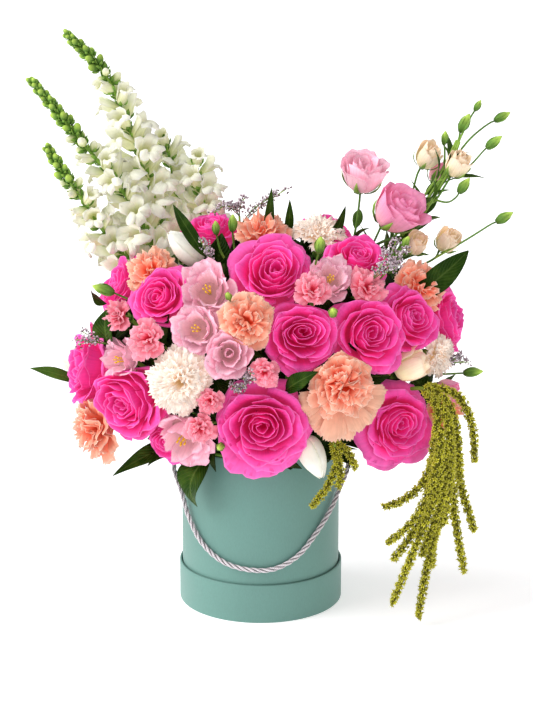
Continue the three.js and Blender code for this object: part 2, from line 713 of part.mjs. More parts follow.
// Lisianthus standing above the right shoulder: two open pink blooms, and a bunch of buds on thin stems
function topBloom(name, kind, sides, place, width, azimuth, height, root, line) {
  const head = makeHead(name, kind, sides, place, width, azimuth, height);
  head.planes = [];
  const neck = head.face.clone().addScaledVector(head.facing, kind.base[1] * head.radius);
  const { tip, loops } = headLoops(head);
  const first = V(...line[0]);
  const away = neck.clone().sub(first).normalize();
  const ring = ringMatch(neck, head.facing.clone().add(away).normalize(), head, kind.base[0] * head.radius);
  const end = ringMatch(first, away, head, THIN_STEM * 0.8);
  const bloom = loft(tip, [...loops, ring, end], first.clone().addScaledVector(away, -0.3));
  const points = [...line].reverse();
  const shapes = [bloom];
  if (root) shapes.push(rootedStem(name, root, points, THIN_STEM, THIN_STEM, points.length - 1));
  else shapes.push(plainStem(points, THIN_STEM * 0.7, THIN_STEM * 0.7, points.length, 3));
  heads.push(head);
  return shapes;
}
addSolid('lisianthus_pink_upper', joined(topBloom(
  'lisianthus_pink_upper', GOBLET, 10, [103, 26, 438], 46, 20, 68,
  [28, 14, ROOT_Z], [[98, 20, 404], [93, 15, 372], [74, 14, 300]],
)), SPRAY_PINK);
addSolid('lisianthus_pink_lower', joined([
  ...topBloom(
    'lisianthus_pink_lower', GOBLET, 10, [137, 4, 405], 52, 56, 46,
    [37, 3, ROOT_Z], [[112, 8, 368], [104, 8, 345], [82, 6, 290]],
  ),
  ...topBloom(
    'lisianthus_pink_lower', CUPLET, 8, [156, 13, 368], 28, 30, 50,
    null, [[137, 12, 352], [114, 9, 341], [102, 7.5, 338]],
  ),
]), SPRAY_PINK);

const BUNCH_LINE = [[92, 22, 290], [125, 26, 346], [160, 34, 397], [184, 38, 435], [197, 40, 466]];
const BUNCH_BLOOMS = [
  [CUPLET, 6, [169, 50, 450], 32, 50, 55, [[157, 46, 430], [148, 36, 396], [140, 30, 369]]],
  [CUPLET, 6, [197, 29, 446], 32, 50, 58, [[184, 31, 422], [174, 34, 406], [164, 34.5, 401]]],
  [CUPLET, 6, [181, 62, 430], 26, 110, 52, [[170, 54, 408], [156, 42, 388], [146, 31, 378]]],
  [CUPLET, 6, [188, 19, 370], 30, 50, 48, [[174, 14, 352], [150, 18, 340], [116, 25, 332]]],
  [BUD, 4, [202, 40, 482], 13, 60, 62, [[198, 40, 470], [197.5, 40, 468], [196, 40, 464]]],
  [BUD, 4, [215, 41, 500], 8, 60, 60, [[209, 40.5, 490], [203, 40, 478], [197, 40, 464]]],
  [BUD, 4, [184, 47, 466], 9, 20, 76, [[184, 45, 456], [184, 42, 446], [184, 38, 436]]],
  [BUD, 4, [239, 46, 488], 11, 80, 30, [[229, 46, 483], [210, 44, 468], [186, 38, 438]]],
  [BUD, 4, [230, 30, 465], 12, 80, 40, [[222, 31, 458], [206, 33, 440], [178, 37, 425]]],
  [BUD, 4, [201, 20, 423], 12, 60, 55, [[196, 22, 414], [187, 28, 406], [168, 35, 409]]],
  [BUD, 4, [240, 8, 394], 12, 80, 32, [[231, 9, 389], [206, 12, 372], [173.6, 14.2, 351.6]]],
];
const bunch = [rootedStem('lisianthus_bunch', [43, 20, ROOT_Z], BUNCH_LINE, 2, 1.3, 6, 4)];
BUNCH_BLOOMS.forEach((row) => {
  const [kind, sides, place, width, azimuth, height, line] = row;
  bunch.push(...topBloom('lisianthus_bunch', kind, sides, place, width, azimuth, height, null, line));
});

// One leaf: a folded blade from its foot to its tip, bent towards its own back
function leaf(foot, tip, width, facing, bend) {
  const along = tip.clone().sub(foot);
  const length = along.length();
  along.normalize();
  const normal = facing.clone().addScaledVector(along, -facing.dot(along)).normalize();
  const side = V(0, 0, 0).crossVectors(along, normal);
  const at = (t) => foot.clone().addScaledVector(along, length * t)
    .addScaledVector(normal, -bend * length * 4 * t * (1 - t) * -1);
  const rings = [[0.08, 0.2], [0.38, 0.96], [0.74, 0.8]].map(([t, w]) => {
    const p = at(t);
    const half = Math.max((width / 2) * w, 0.9);
    const fold = half * 0.22;
    return [
      p.clone().addScaledVector(side, half).addScaledVector(normal, fold),
      p.clone().addScaledVector(normal, LEAF_THICK / 2),
      p.clone().addScaledVector(side, -half).addScaledVector(normal, fold),
      p.clone().addScaledVector(normal, -LEAF_THICK / 2),
    ];
  });
  return loft(foot.clone(), rings, tip.clone());
}
function leafIsFree(shape, margin, node) {
  const { points } = shape;
  const more = [];
  for (let i = 1; i + 4 < points.length - 1; i += 1) more.push(points[i].clone().lerp(points[i + 4], 0.5));
  return points.slice(5).concat(more.slice(2)).every((p) => isFree(p, margin, node));
}

[
  [[151, 32, 384], [166, 39, 438], 10, 30, 30],
  [[163, 34.5, 401], [216, 34, 398], 9, 0, 60],
  [[160, 34, 398], [170, 30, 446], 10, 60, 20],
].forEach(([foot, tip, width, azimuth, height]) => {
  bunch.push(leaf(V(...foot), V(...tip), width, aim(azimuth, height), 0.1));
});
addSolid('lisianthus_bunch', joined(bunch), GREEN);

// Hanging amaranthus: knobbly strands that share a stem and droop over the edge
function strand(line, widest, pitch) {
  const curve = curveThrough(line);
  const count = Math.max(Math.round(curve.getLength() / pitch), 3);
  const points = [];
  const radii = [];
  for (let i = 0; i <= count; i += 1) {
    const t = i / count;
    points.push(curve.getPointAt(t));
    const taper = t < 0.12 ? 0.5 + t * 4 : 1 - 0.45 * Math.max(0, t - 0.6);
    radii.push(widest * taper * (i % 2 === 0 ? 0.8 : 1.12) * (i === count ? 0.55 : 1));
  }
  return stem(points, radii, 4);
}
const HANGING = [
  [[160, -73, 240], [172, -86, 226], [170, -92, 198], [166, -94, 168], [163, -92, 142]],
  [[160, -71, 243], [182, -84, 232], [192, -87, 196], [196, -84, 150]],
  [[162, -69, 244], [192, -75, 236], [207, -77, 206], [211, -74, 167]],
  [[166, -76, 240], [182, -93, 216], [184, -98, 156], [170, -98, 96], [162, -96, 50], [157, -92, 7]],
  [[172, -92, 204], [170, -100, 164], [150, -102, 116], [124, -100, 91]],
  [[176, -92, 206], [174, -104, 156], [154, -106, 96], [130, -102, 28]],
  [[184, -86, 216], [188, -90, 152], [192, -88, 112], [202, -86, 56]],
  [[190, -84, 200], [196, -80, 150], [206, -80, 116], [212, -80, 96]],
  [[178, -92, 190], [178, -94, 134], [170, -92, 88], [170, -90, 62]],
  [[172, -94, 186], [158, -96, 152], [138, -96, 134], [120, -96, 128]],
  [[172, -97, 160], [163, -99, 128], [144, -98, 92], [130, -96, 72]],
];
const hanging = [rootedStem(
  'amaranthus_right', [28, -24, 161],
  [[100, -40, 212], [118, -46, 226], [142, -56, 236], [160, -70, 241], [168, -78, 238]], THIN_STEM, 3, 5,
)];
HANGING.forEach((line) => hanging.push(strand(line, 6, 24)));
addSolid('amaranthus_right', joined(hanging), OLIVE, 0.9);
const small = [rootedStem(
  'amaranthus_front', [22, -30, LOW_ROOT_Z],
  [[56, -70, 192], [68, -88, 197], [73, -96, 190]], THIN_STEM, 2.4, 3,
)];
[
  [[70, -92, 194], [75, -99, 178], [66, -102, 152], [50, -100, 129]],
  [[72, -94, 194], [86, -98, 184], [93, -98, 168]],
  [[71, -94, 190], [78, -102, 166], [76, -102, 150]],
].forEach((line) => small.push(strand(line, 5, 13)));
addSolid('amaranthus_front', joined(small), OLIVE, 0.9);

// Sea lavender: a twig with small florets set on its side shoots
function smallFloret(centre, r) {
  return loft(
    centre.clone().add(V(0, 0, r)),
    [ringAt(centre, V(0, 0, 1), r, 3)],
    centre.clone().add(V(0, 0, -r)),
  );
}
function twig(name, root, trunk, shoots, seed) {
  const random = seeded(seed);
  const shapes = [rootedStem(name, root, trunk, 1.2, 1, trunk.length + 1, 4)];
  shoots.forEach((shoot) => {
    shapes.push(plainStem(shoot, 0.8, 0.8, 2, 3));
    const curve = curveThrough(shoot);
    for (let i = 0; i < 2; i += 1) {
      const p = curve.getPoint(0.6 + 0.4 * i);
      p.add(V(random() - 0.5, random() - 0.5, random() - 0.5).multiplyScalar(1.2));
      const r = 2.4 + random() * 0.9;
      if (isFree(p, r + 0.4, name)) shapes.push(smallFloret(p, r * 1.15));
    }
  });
  return joined(shapes);
}
addSolid('limonium_left', twig('limonium_left', [-9, 6, ROOT_Z], [[-16, 14, 290], [-20, 20, 372], [-21, 19, 394]], [
  [[-21, 19, 394], [-26, 6, 406], [-32, -10, 410]],
  [[-21, 19, 394], [-34, 2, 408], [-46, -12, 404]],
  [[-21, 19, 394], [-20, 8, 406], [-16, -2, 416]],
  [[-20.5, 19.5, 384], [-6, 27, 400], [14, 24, 414]],
  [[-20.5, 19.5, 384], [2, 31, 402], [26, 26, 420]],
], 7), LILAC, 0.9);
addSolid('limonium_right', twig('limonium_right', [30, -6, ROOT_Z], [[78, -20, 285], [112, -32, 336], [124, -40, 352]], [
  [[124, -40, 352], [126, -46, 362], [120, -52, 374]],
  [[124, -40, 352], [134, -42, 364], [142, -44, 374]],
  [[118, -36, 344], [128, -34, 364], [132, -36, 382]],
  [[124, -40, 352], [130, -52, 358], [134, -62, 364]],
], 11), LILAC, 0.9);

// Foliage: a leafy stem laid round the foam just above the rim, and leafy branches up the back
const COLLAR_RADIUS = 78;
const COLLAR_TUBE = 1.6;
const COLLAR_Z = BODY_TOP + FIT_GAP + COLLAR_TUBE;
const collarAt = (azimuth, r = COLLAR_RADIUS, z = COLLAR_Z) => cordPoint(azimuth, r, z);
const collarPoints = Array.from({ length: 29 }, (_, i) => collarAt(-178 + (356 * i) / 24));
const collar = [stem(collarPoints, collarPoints.map(() => COLLAR_TUBE), 4)];
const FRONT_LEAVES = [
  [-47, [-66, -62, 118], 32, 0.34], [-72, [-146, -66, 150], 18, 0.14], [-57, [-112, -60, 158], 18, 0.14],
  [-14, [-30, -112, 172], 18, 0.14], [40, [92, -88, 168], 22, 0.14], [64, [128, -62, 160], 26, 0.14],
];
FRONT_LEAVES.forEach(([azimuth, tip, width, bend]) => {
  const foot = collarAt(azimuth);
  collar.push(leaf(foot, V(...tip), width, aim(azimuth, 30), bend));
});
const collarRandom = seeded(23);
for (let i = 0; i < 14; i += 1) {
  const azimuth = 98 + (164 * i) / 13;
  const turn = azimuth + (collarRandom() - 0.5) * 24;
  const reach = 112 + collarRandom() * 26;
  const tip = collarAt(turn, reach, 150 + collarRandom() * 50);
  const shape = leaf(collarAt(azimuth), tip, 24 + collarRandom() * 6, aim(turn, 55), 0.12);
  if (leafIsFree(shape, 1, 'foliage_collar')) collar.push(shape);
}
addSolid('foliage_collar', joined(collar), GREEN);

const BACK_TRUNK = [[8, 59, 222], [12, 74, 262], [12, 84, 310], [14, 86, 352]];
const BACK_BRANCHES = [
  [[7, 56, 214], [-30, 66, 194], [-66, 66, 198], [-104, 62, 226], [-122, 60, 262]],
  [[11, 72, 254], [52, 58, 236], [100, 66, 268], [128, 58, 318]],
  [[12, 82, 296], [-10, 76, 330], [-34, 70, 352]],
];
const back = [rootedStem('foliage_back', [2, 40, ROOT_Z], BACK_TRUNK, 2, 1.3, 4)];
BACK_BRANCHES.forEach((line) => back.push(plainStem(line, 1.6, 1.2, 6, 3)));
// A point on the straight steps that a stem's line is built from
function onSteps(curve, steps, t) {
  const k = Math.min(Math.floor(t * steps), steps - 1);
  return curve.getPoint(k / steps).lerp(curve.getPoint((k + 1) / steps), t * steps - k);
}
const backRandom = seeded(31);
const backFeet = [];
[BACK_TRUNK, ...BACK_BRANCHES].forEach((line, k) => {
  const curve = curveThrough(line);
  const count = k === 3 ? 6 : 11;
  for (let i = 0; i < count; i += 1) {
    const foot = onSteps(curve, k === 0 ? 4 : 6, 0.2 + (0.78 * i) / (count - 1));
    const swing = (i % 2 === 0 ? 1 : -1) * (30 + backRandom() * 80);
    const out = aim(180 + swing * 0.7, -20 + backRandom() * 90);
    const tip = foot.clone().addScaledVector(out, 44 + backRandom() * 18);
    const shape = leaf(foot, tip, 25, aim(180 + swing * 0.2, 50), 0.1);
    const apart = backFeet.every((other) => other.distanceTo(tip) > 17);
    if (apart && leafIsFree(shape, 1, 'foliage_back')) {
      back.push(shape);
      backFeet.push(tip);
    }
  }
});
addSolid('foliage_back', joined(back), GREEN);

// Foam block with a plain hole for every stem
function foamBlock() {
  const ring = (r, z) => Array.from({ length: FOAM_SIDES }, (_, j) => {
    const a = (2 * Math.PI * (j + 0.5)) / FOAM_SIDES;
    return V(r * Math.cos(a), r * Math.sin(a), z);
  });
  const bottom = linerBottom + 1.2 + FIT_GAP;
  const rings = [
    ring(FOAM_RADIUS, bottom),
    ring(FOAM_RADIUS, FOAM_TOP - FOAM_CHAMFER),
    ring(FOAM_RADIUS - FOAM_CHAMFER, FOAM_TOP),
  ];
  let foam = solid(loft(V(0, 0, bottom), rings, V(0, 0, FOAM_TOP)));
  stemLines.filter((line) => line.rooted).forEach(({ from, to, radius, neckRadius }) => {
    const away = from.clone().sub(to).normalize();
    const bottomEnd = to.clone().addScaledVector(away, -0.8);
    const small = radius * 2 + STEM_CLEAR;
    const wide = neckRadius * 2 + STEM_CLEAR;
    foam = foam.subtract(solid(stem([bottomEnd, from], [small, wide], 3)));
  });
  return foam;
}
addSolid('floral_foam', foamBlock(), FOAM_GREEN, 0.95);

export default group;
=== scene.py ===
"""Mixed flower box: a round card box standing in its lid, with a twisted cord across its front and an
arrangement of roses, carnations, lisianthus, snapdragons, tulips and hanging amaranthus."""

import math
from collections import namedtuple

import bpy
import numpy as np
from bpy.props import FloatProperty, FloatVectorProperty, IntProperty, PointerProperty, StringProperty
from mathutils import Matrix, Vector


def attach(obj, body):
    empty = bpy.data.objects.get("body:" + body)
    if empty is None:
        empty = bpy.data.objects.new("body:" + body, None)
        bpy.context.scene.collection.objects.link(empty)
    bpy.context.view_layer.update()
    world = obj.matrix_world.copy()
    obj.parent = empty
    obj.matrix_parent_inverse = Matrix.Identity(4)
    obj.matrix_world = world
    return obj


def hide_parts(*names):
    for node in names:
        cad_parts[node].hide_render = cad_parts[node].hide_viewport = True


bl_info = {
    "name": "Mixed flower box",
    "version": (1, 0, 0),
    "blender": (4, 5, 0),
    "location": "View3D > Sidebar > Flower box",
    "description": "Dresses the frame of a flower box with petals, leaves, card and cord",
    "category": "Add Mesh",
}

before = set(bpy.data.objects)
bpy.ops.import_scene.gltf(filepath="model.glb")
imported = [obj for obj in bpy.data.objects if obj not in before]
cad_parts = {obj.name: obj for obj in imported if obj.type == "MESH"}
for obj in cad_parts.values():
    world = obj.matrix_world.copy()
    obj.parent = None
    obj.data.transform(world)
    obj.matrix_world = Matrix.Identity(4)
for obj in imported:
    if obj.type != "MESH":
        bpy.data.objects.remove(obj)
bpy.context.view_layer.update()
MM = 0.001
FAR = 10.0
GOLDEN = math.radians(137.508)


# Numbers shared with the frame, in millimetres and degrees

BLOOM_SCALE = 1.08
ROOT_RADIUS, ROOT_Z, LOW_ROOT_Z = 40, 178, 168
LOW_BLOOM_Z = 236  # the stem of a bloom below this height has its root lower
HOLE_Z = 150  # height of the two holes that the cord goes through
RIM_Z = 171.9  # height of the leafy stem that lies on the rim

# For each kind: node, middle of the face, width, facing azimuth and height, and for some a shift of the root
Bloom = namedtuple("Bloom", "kind node face width azimuth height shift", defaults=[(0, 0, 0)])
BLOOMS = [Bloom(kind, *row) for kind, rows in {
    "rose": [
        ("rose_top", (11, -76, 362), 74, 2, 42),
        ("rose_middle", (40, -114, 307), 72, 8, 18),
        ("rose_middle_right", (108, -94, 304), 74, 22, 16),
        ("rose_right", (148, -62, 309), 66, 38, 20),
        ("rose_upper_left", (-97, -76, 336), 60, -20, 24),
        ("rose_upper_right", (94, -30, 364), 60, 15, 52),
        ("rose_low_left", (-134, -80, 230), 84, -38, -2),
        ("rose_front", (3, -126, 220), 86, 0, 8),
        ("rose_low_right", (137, -82, 207), 72, 20, 2),
        ("rose_left_side", (-176, -26, 248), 84, -76, 6),
        ("rose_right_side", (190, -8, 295), 64, 72, 14, (-4, 12, -6)),
        ("rose_left_behind", (-142, -4, 330), 62, -75, 40),
        ("rose_top_left", (-50, 16, 384), 58, -30, 75),
        ("rose_top_right", (74, 50, 374), 54, 80, 64),
        ("rose_under_left", (-92, -77, 190), 52, -30, -16),
        ("rose_back", (62, 84, 292), 72, 165, 18, (-10, 10, -6)),
    ],
    "carnation": [
        ("carnation_peach_top", (2, -6, 382), 60, 0, 78),
        ("carnation_peach_middle", (-13, -110, 320), 60, -5, 24),
        ("carnation_peach_front", (78, -118, 253), 78, 12, 4),
        ("carnation_peach_upper_left", (-106, -42, 352), 54, -28, 44),
        ("carnation_peach_low_left", (-161, -50, 194), 72, -58, -14),
        ("carnation_peach_right", (156, -20, 330), 62, 42, 40),
        ("carnation_peach_low_right", (182, -32, 208), 56, 52, -2),
        ("carnation_peach_back_left", (-72, 84, 292), 66, -160, 18, (6, 8, -6)),
        ("carnation_peach_back_right", (128, 58, 240), 66, 132, 4, (-6, 12, -10)),
        ("carnation_cream_left", (-76, -108, 260), 74, -16, 4),
        ("carnation_cream_top", (58, 4, 380), 58, 10, 76),
        ("carnation_cream_right", (176, -36, 266), 48, 50, 4),
        ("carnation_cream_back", (-30, 90, 232), 68, 185, 4),
    ],
    "trumpet": [
        ("lisianthus_upper_left", (-51, -86, 346), 50, -10, 30),
        ("lisianthus_upper_left", (-62, -106, 312), 46, -15, 20),
        ("lisianthus_upper_left", (-30, -120, 291), 44, 0, 14),
        ("lisianthus_upper_right", (68, -74, 354), 42, 10, 38),
        ("lisianthus_low_left", (-140, -68, 270), 42, -45, 12),
        ("lisianthus_low_left", (-77, -92, 194), 56, -18, -16),
    ],
    "spray": [
        ("spray_carnations_left", (-108, -94, 298), 44, -25, 15),
        ("spray_carnations_left", (-139, -54, 311), 36, -50, 25),
        ("spray_carnations_low", (-48, -120, 244), 30, -8, 5),
        ("spray_carnations_low", (4, -124, 274), 32, 0, 8),
        ("spray_carnations_low", (-58, -120, 217), 34, -8, 4),
        ("spray_carnations_right", (103, -68, 343), 42, 20, 38, (-9, 7, 0)),
        ("spray_carnations_right", (50, -94, 346), 40, 5, 38),
    ],
    "goblet": [
        ("lisianthus_buds_right", (152, -72, 266), 36, 28, 8),
        ("lisianthus_buds_right", (190, -42, 230), 24, 60, -10),
    ],
    "tulip": [
        ("tulip_upper_left", (-68, -32, 369), 26, -88, 42),
        ("tulip_front", (48, -102, 189), 26, 60, -62),
        ("tulip_left_side", (-184, 24, 240), 26, -100, 18),
    ],
}.items() for row in rows]
# How far below its face a bloom's stem joins it, in radii
BASE_OF = {
    "rose": 0.98, "carnation": 0.95, "trumpet": 1.0, "spray": 1.0,
    "goblet": 1.08, "cuplet": 1.08, "bud": 1.3, "tulip": 1.25,
}

# Spikes: root in the foam, line above it, where the florets start, the widest floret, how far they are open
SPIKES = [
    ("snapdragon_tallest", (-29, 20, ROOT_Z), [
        (-58, 34, 262), (-88, 46, 350), (-110, 56, 408), (-133, 62, 478), (-156, 67, 529), (-192, 70, 567),
    ], 0.2, 29, 0.8),
    ("snapdragon_second", (-35, 13, ROOT_Z), [
        (-64, 24, 262), (-100, 34, 345), (-136, 38, 412), (-180, 40, 467), (-225, 40, 525),
    ], 0.24, 25, 0.7),
    ("snapdragon_lowest", (-39, 5, ROOT_Z), [
        (-70, 14, 262), (-112, 38, 324), (-150, 42, 362), (-180, 26, 412), (-210, 20, 461),
    ], 0.24, 24, 0.78),
    ("snapdragon_middle", (-8, 30, ROOT_Z), [
        (-32, 56, 290), (-60, 74, 356), (-86, 80, 415), (-98, 84, 462),
    ], 0.34, 26, 0.95),
    ("snapdragon_short", (-20, 22, ROOT_Z), [
        (-34, 42, 290), (-50, 58, 360), (-60, 64, 405), (-66, 68, 446),
    ], 0.46, 24, 0.97),
]

# Blooms standing above the right shoulder: kind, face, width, azimuth, height, line down the stem
TOP_BLOOMS = {
    "lisianthus_pink_upper": [
        ("pale goblet", (103, 26, 438), 46, 20, 68,
         [(98, 20, 404), (93, 15, 372), (74, 14, 300), (28, 14, ROOT_Z)]),
    ],
    "lisianthus_pink_lower": [
        ("goblet", (137, 4, 405), 52, 56, 46, [(112, 8, 368), (104, 8, 345), (82, 6, 290), (37, 3, ROOT_Z)]),
        ("cuplet", (156, 13, 368), 28, 30, 50, [(137, 12, 352), (114, 9, 341), (102, 7.5, 338)]),
    ],
    "lisianthus_bunch": [
        ("cuplet", (169, 50, 450), 32, 50, 55, [(157, 46, 430), (148, 36, 396), (140, 30, 369)]),
        ("cuplet", (197, 29, 446), 32, 50, 58, [(184, 31, 422), (174, 34, 406), (164, 34.5, 401)]),
        ("pink cuplet", (181, 62, 430), 26, 110, 52, [(170, 54, 408), (156, 42, 388), (146, 31, 378)]),
        ("cuplet", (188, 19, 370), 30, 50, 48, [(174, 14, 352), (150, 18, 340), (116, 25, 332)]),
        ("bud", (202, 40, 482), 13, 60, 62, [(198, 40, 470), (197.5, 40, 468), (196, 40, 464)]),
        ("bud", (215, 41, 500), 8, 60, 60, [(209, 40.5, 490), (203, 40, 478), (197, 40, 464)]),
        ("bud", (184, 47, 466), 9, 20, 76, [(184, 45, 456), (184, 42, 446), (184, 38, 436)]),
        ("bud", (239, 46, 488), 11, 80, 30, [(229, 46, 483), (210, 44, 468), (186, 38, 438)]),
        ("bud", (230, 30, 465), 12, 80, 40, [(222, 31, 458), (206, 33, 440), (178, 37, 425)]),
        ("bud", (201, 20, 423), 12, 60, 55, [(196, 22, 414), (187, 28, 406), (168, 35, 409)]),
        ("bud", (240, 8, 394), 12, 80, 32, [(231, 9, 389), (206, 12, 372), (173.6, 14.2, 351.6)]),
    ],
}
# How many leaves a single stem there has, and how far up they reach
LEAVES_ON_STEM = {"lisianthus_pink_upper": (6, 0.9), "lisianthus_pink_lower": (7, 0.97)}
BUNCH_LINE = [(43, 20, ROOT_Z), (92, 22, 290), (125, 26, 346), (160, 34, 397), (184, 38, 435), (197, 40, 466)]

# Strands of amaranthus, each a line from its stem to its tip
HANGING_STEM = [
    (28, -24, 161), (100, -40, 212), (118, -46, 226), (142, -56, 236), (160, -70, 241), (168, -78, 238),
]
HANGING = [
    [(160, -73, 240), (172, -86, 226), (170, -92, 198), (166, -94, 168), (163, -92, 142)],
    [(160, -71, 243), (182, -84, 232), (192, -87, 196), (196, -84, 150)],
    [(162, -69, 244), (192, -75, 236), (207, -77, 206), (211, -74, 167)],
    [(166, -76, 240), (182, -93, 216), (184, -98, 156), (170, -98, 96), (162, -96, 50), (157, -92, 9)],
    [(172, -92, 204), (170, -100, 164), (150, -102, 116), (124, -100, 91)],
    [(176, -92, 206), (174, -104, 156), (154, -106, 96), (130, -102, 28)],
    [(184, -86, 216), (188, -90, 152), (192, -88, 112), (202, -86, 56)],
    [(190, -84, 200), (196, -80, 150), (206, -80, 116), (212, -80, 96)],
    [(178, -92, 190), (178, -94, 134), (170, -92, 88), (170, -90, 62)],
    [(172, -94, 186), (158, -96, 152), (138, -96, 134), (120, -96, 128)],
    [(172, -97, 160), (163, -99, 128), (144, -98, 92), (130, -96, 72)],
    [(176, -98, 210), (172, -104, 176), (166, -103, 140), (160, -101, 104)],
    [(180, -96, 196), (180, -100, 160), (172, -101, 120), (158, -100, 78)],
    [(186, -92, 180), (184, -96, 140), (180, -94, 108)],
]
SMALL_STEM = [(22, -30, LOW_ROOT_Z), (56, -70, 192), (68, -88, 197), (73, -96, 190)]
SMALL_STRANDS = [
    [(70, -92, 194), (75, -99, 178), (66, -102, 152), (50, -100, 129)],
    [(72, -94, 194), (86, -98, 184), (93, -98, 168)],
    [(71, -94, 190), (78, -102, 166), (76, -102, 150)],
]

# Sea lavender: trunk, then its side shoots
TWIGS = [
    ("limonium_left", [(-9, 6, ROOT_Z), (-16, 14, 290), (-20, 20, 372), (-21, 19, 394)], [
        [(-21, 19, 394), (-26, 6, 406), (-32, -10, 410)], [(-21, 19, 394), (-34, 2, 408), (-46, -12, 404)],
        [(-21, 19, 394), (-20, 8, 406), (-16, -2, 416)], [(-20.5, 19.5, 384), (-6, 27, 400), (14, 24, 414)],
        [(-20.5, 19.5, 384), (2, 31, 402), (26, 26, 420)],
    ]),
    ("limonium_right", [(30, -6, ROOT_Z), (78, -20, 285), (112, -32, 336), (124, -40, 352)], [
        [(124, -40, 352), (126, -46, 362), (120, -52, 374)],
        [(124, -40, 352), (134, -42, 364), (142, -44, 374)],
        [(118, -36, 344), (128, -34, 364), (132, -36, 382)],
        [(124, -40, 352), (130, -52, 358), (134, -62, 364)],
    ]),
]

# Leaves laid round the rim at the front: foot's azimuth, tip, width, bend, facing azimuth
FRONT_LEAVES = [
    (-38, (-63, -64, 117), 32, 0.34, -38), (-72, (-146, -66, 150), 18, 0.14, -15),
    (-57, (-112, -60, 158), 18, 0.14, -57), (-14, (-30, -112, 172), 18, 0.14, -14),
    (40, (92, -88, 168), 22, 0.14, 40), (64, (128, -62, 160), 26, 0.14, 64),
]
# The trunk at the back and its three branches
BACK_STEMS = [
    [(2, 40, ROOT_Z), (8, 59, 222), (12, 74, 262), (12, 84, 310), (14, 86, 352)],
    [(7, 56, 214), (-30, 66, 194), (-66, 66, 198), (-104, 62, 226), (-122, 60, 262)],
    [(11, 72, 254), (52, 58, 236), (100, 66, 268), (128, 58, 318)],
    [(12, 82, 296), (-10, 76, 330), (-34, 70, 352)],
]
# Leaves of the trunk and of each branch: its line, its straight steps, how many leaves, and which are kept
BACK_LEAVES = [
    (BACK_STEMS[0][1:], 4, 11, (4, 5, 6, 7, 8, 10)), (BACK_STEMS[1], 6, 11, (4, 6, 8, 10)),
    (BACK_STEMS[2], 6, 11, (7, 9, 10)), (BACK_STEMS[3], 6, 6, (2, 3, 4)),
]

# Petals of some roses that hang: azimuth in the bloom, reach, height
DROOPS = {
    "rose_low_left": [(-150, 1.05, -0.42), (-95, 1.12, -0.46), (-40, 1.0, -0.4)],
    "rose_low_right": [(-120, 1.1, -0.4), (-70, 1.06, -0.36)],
    "rose_front": [(-100, 0.98, -0.3), (-50, 0.96, -0.3)],
    "rose_top": [(170, 1.05, -0.35), (-90, 0.96, -0.4)],
    "rose_middle": [(-90, 0.98, -0.4), (-150, 0.98, -0.36)],
    "rose_middle_right": [(-120, 1.08, -0.42), (-80, 1.0, -0.42)],
}
# Petals in the skirt of a carnation that has one, and how many more petals the cream ones have
SKIRTS = {"carnation_peach_front": 8}
CREAM_EXTRA = 29
# Room between the cells of two blooms, how far past its cell a bloom may be pressed, and one that has less
CELL_GAP, CELL_SLACK = 0.3, 1.13
CROWDED = {"rose_under_left": 0.8}
# Facing of the half-shut blooms among the lisianthus, and the width of the open one with a closed heart
SHUT_FACING = {"lisianthus_buds_right": [(86, 26), (64, -14)]}
HALF_OPEN_WIDTH = 44
# Places of some materials in their pieces: green of stems, anthers, young buds, leaves darkened with painted
# shade, thin leaves
GREEN, ANTHER, YOUNG, PAINTED_SHADE_LEAF, SPRAY_LEAF = 1, 2, 3, 2, 4

# Single leaves that show between the blooms: foot, tip, width, facing azimuth and height
FILL_LEAVES = [
    ((24, -114, 252), (55, -130, 276), 17, 10, 35), ((-52, -50, 368), (-85, -25, 415), 13, -10, 20),
    ((7, 6, 372), (11, 2, 426), 10, 0, 10), ((26, 8, 372), (29, 4, 414), 9, 10, 10),
    ((152, -24, 322), (206, -4, 364), 26, 30, 25), ((68, 4, 370), (84, 0, 408), 10, 20, 20),
    ((-150, -50, 322), (-164, -64, 340), 12, -60, 30),
    ((-112, -60, 262), (-88, -76, 318), 30, -20, 10), ((-146, -40, 270), (-150, -50, 316), 30, -40, 10),
    ((-100, -20, 258), (-92, -36, 306), 34, -10, 5), ((-138, -16, 262), (-130, -30, 314), 36, -20, 5),
    ((-126, -14, 286), (-116, -26, 330), 30, -20, 5), ((-36, -24, 330), (-32, -34, 366), 30, 0, 5),
    ((46, -30, 186), (54, -44, 226), 34, 0, 5), ((-44, -10, 336), (-38, -14, 384), 30, 0, 5),
    ((150, -36, 210), (160, -50, 256), 34, 10, 5),
]
BRIGHT_LEAVES = [((-180, 10, 222), (-233, 12, 238), 12, -20, 40)]
# Green buds between the blooms: place, width, facing azimuth and height
GREEN_BUDS = [
    ((-27, -30, 396), 12, 8, 80), ((-43, -40, 394), 10, -12, 74), ((57, -72, 384), 14, 10, 60),
    ((69, -112, 329), 12, 0, 34), ((-150, -60, 338), 15, -74, 22), ((-30, -108, 344), 9, -10, 40),
    ((-38, -123, 199), 11, -10, 8), ((142, -24, 376), 10, 40, 60), ((209, -30, 246), 13, 88, 6),
]
# Small sprigs of sea lavender between the blooms, by the twig that they belong to
SPRIGS = {
    "limonium_left": [(-22, -122, 257), (-12, -122, 272), (-171, -60, 292), (-53, -60, 382)],
    "limonium_right": [(197, -36, 260), (120, -72, 366)],
}

# The cord's line: azimuth round the box, distance out from the wall, height
CORD_LINE = [
    (-90, -2.4, 150), (-90, 3, 150), (-89, 7.5, 147.8), (-83, 8, 138), (-70, 5.1, 122), (-59, 4.1, 99),
    (-45, 3.1, 77), (-27, 3.1, 62.5), (-9, 3.1, 57), (9, 3.1, 57.5), (26, 3.1, 68), (42, 3.1, 88),
    (58, 4.1, 109), (72, 5.1, 126), (83, 8.5, 138), (89, 8, 147.8), (90, 3, 150), (90, -2.4, 150),
]


# Sizes and colours a user would change

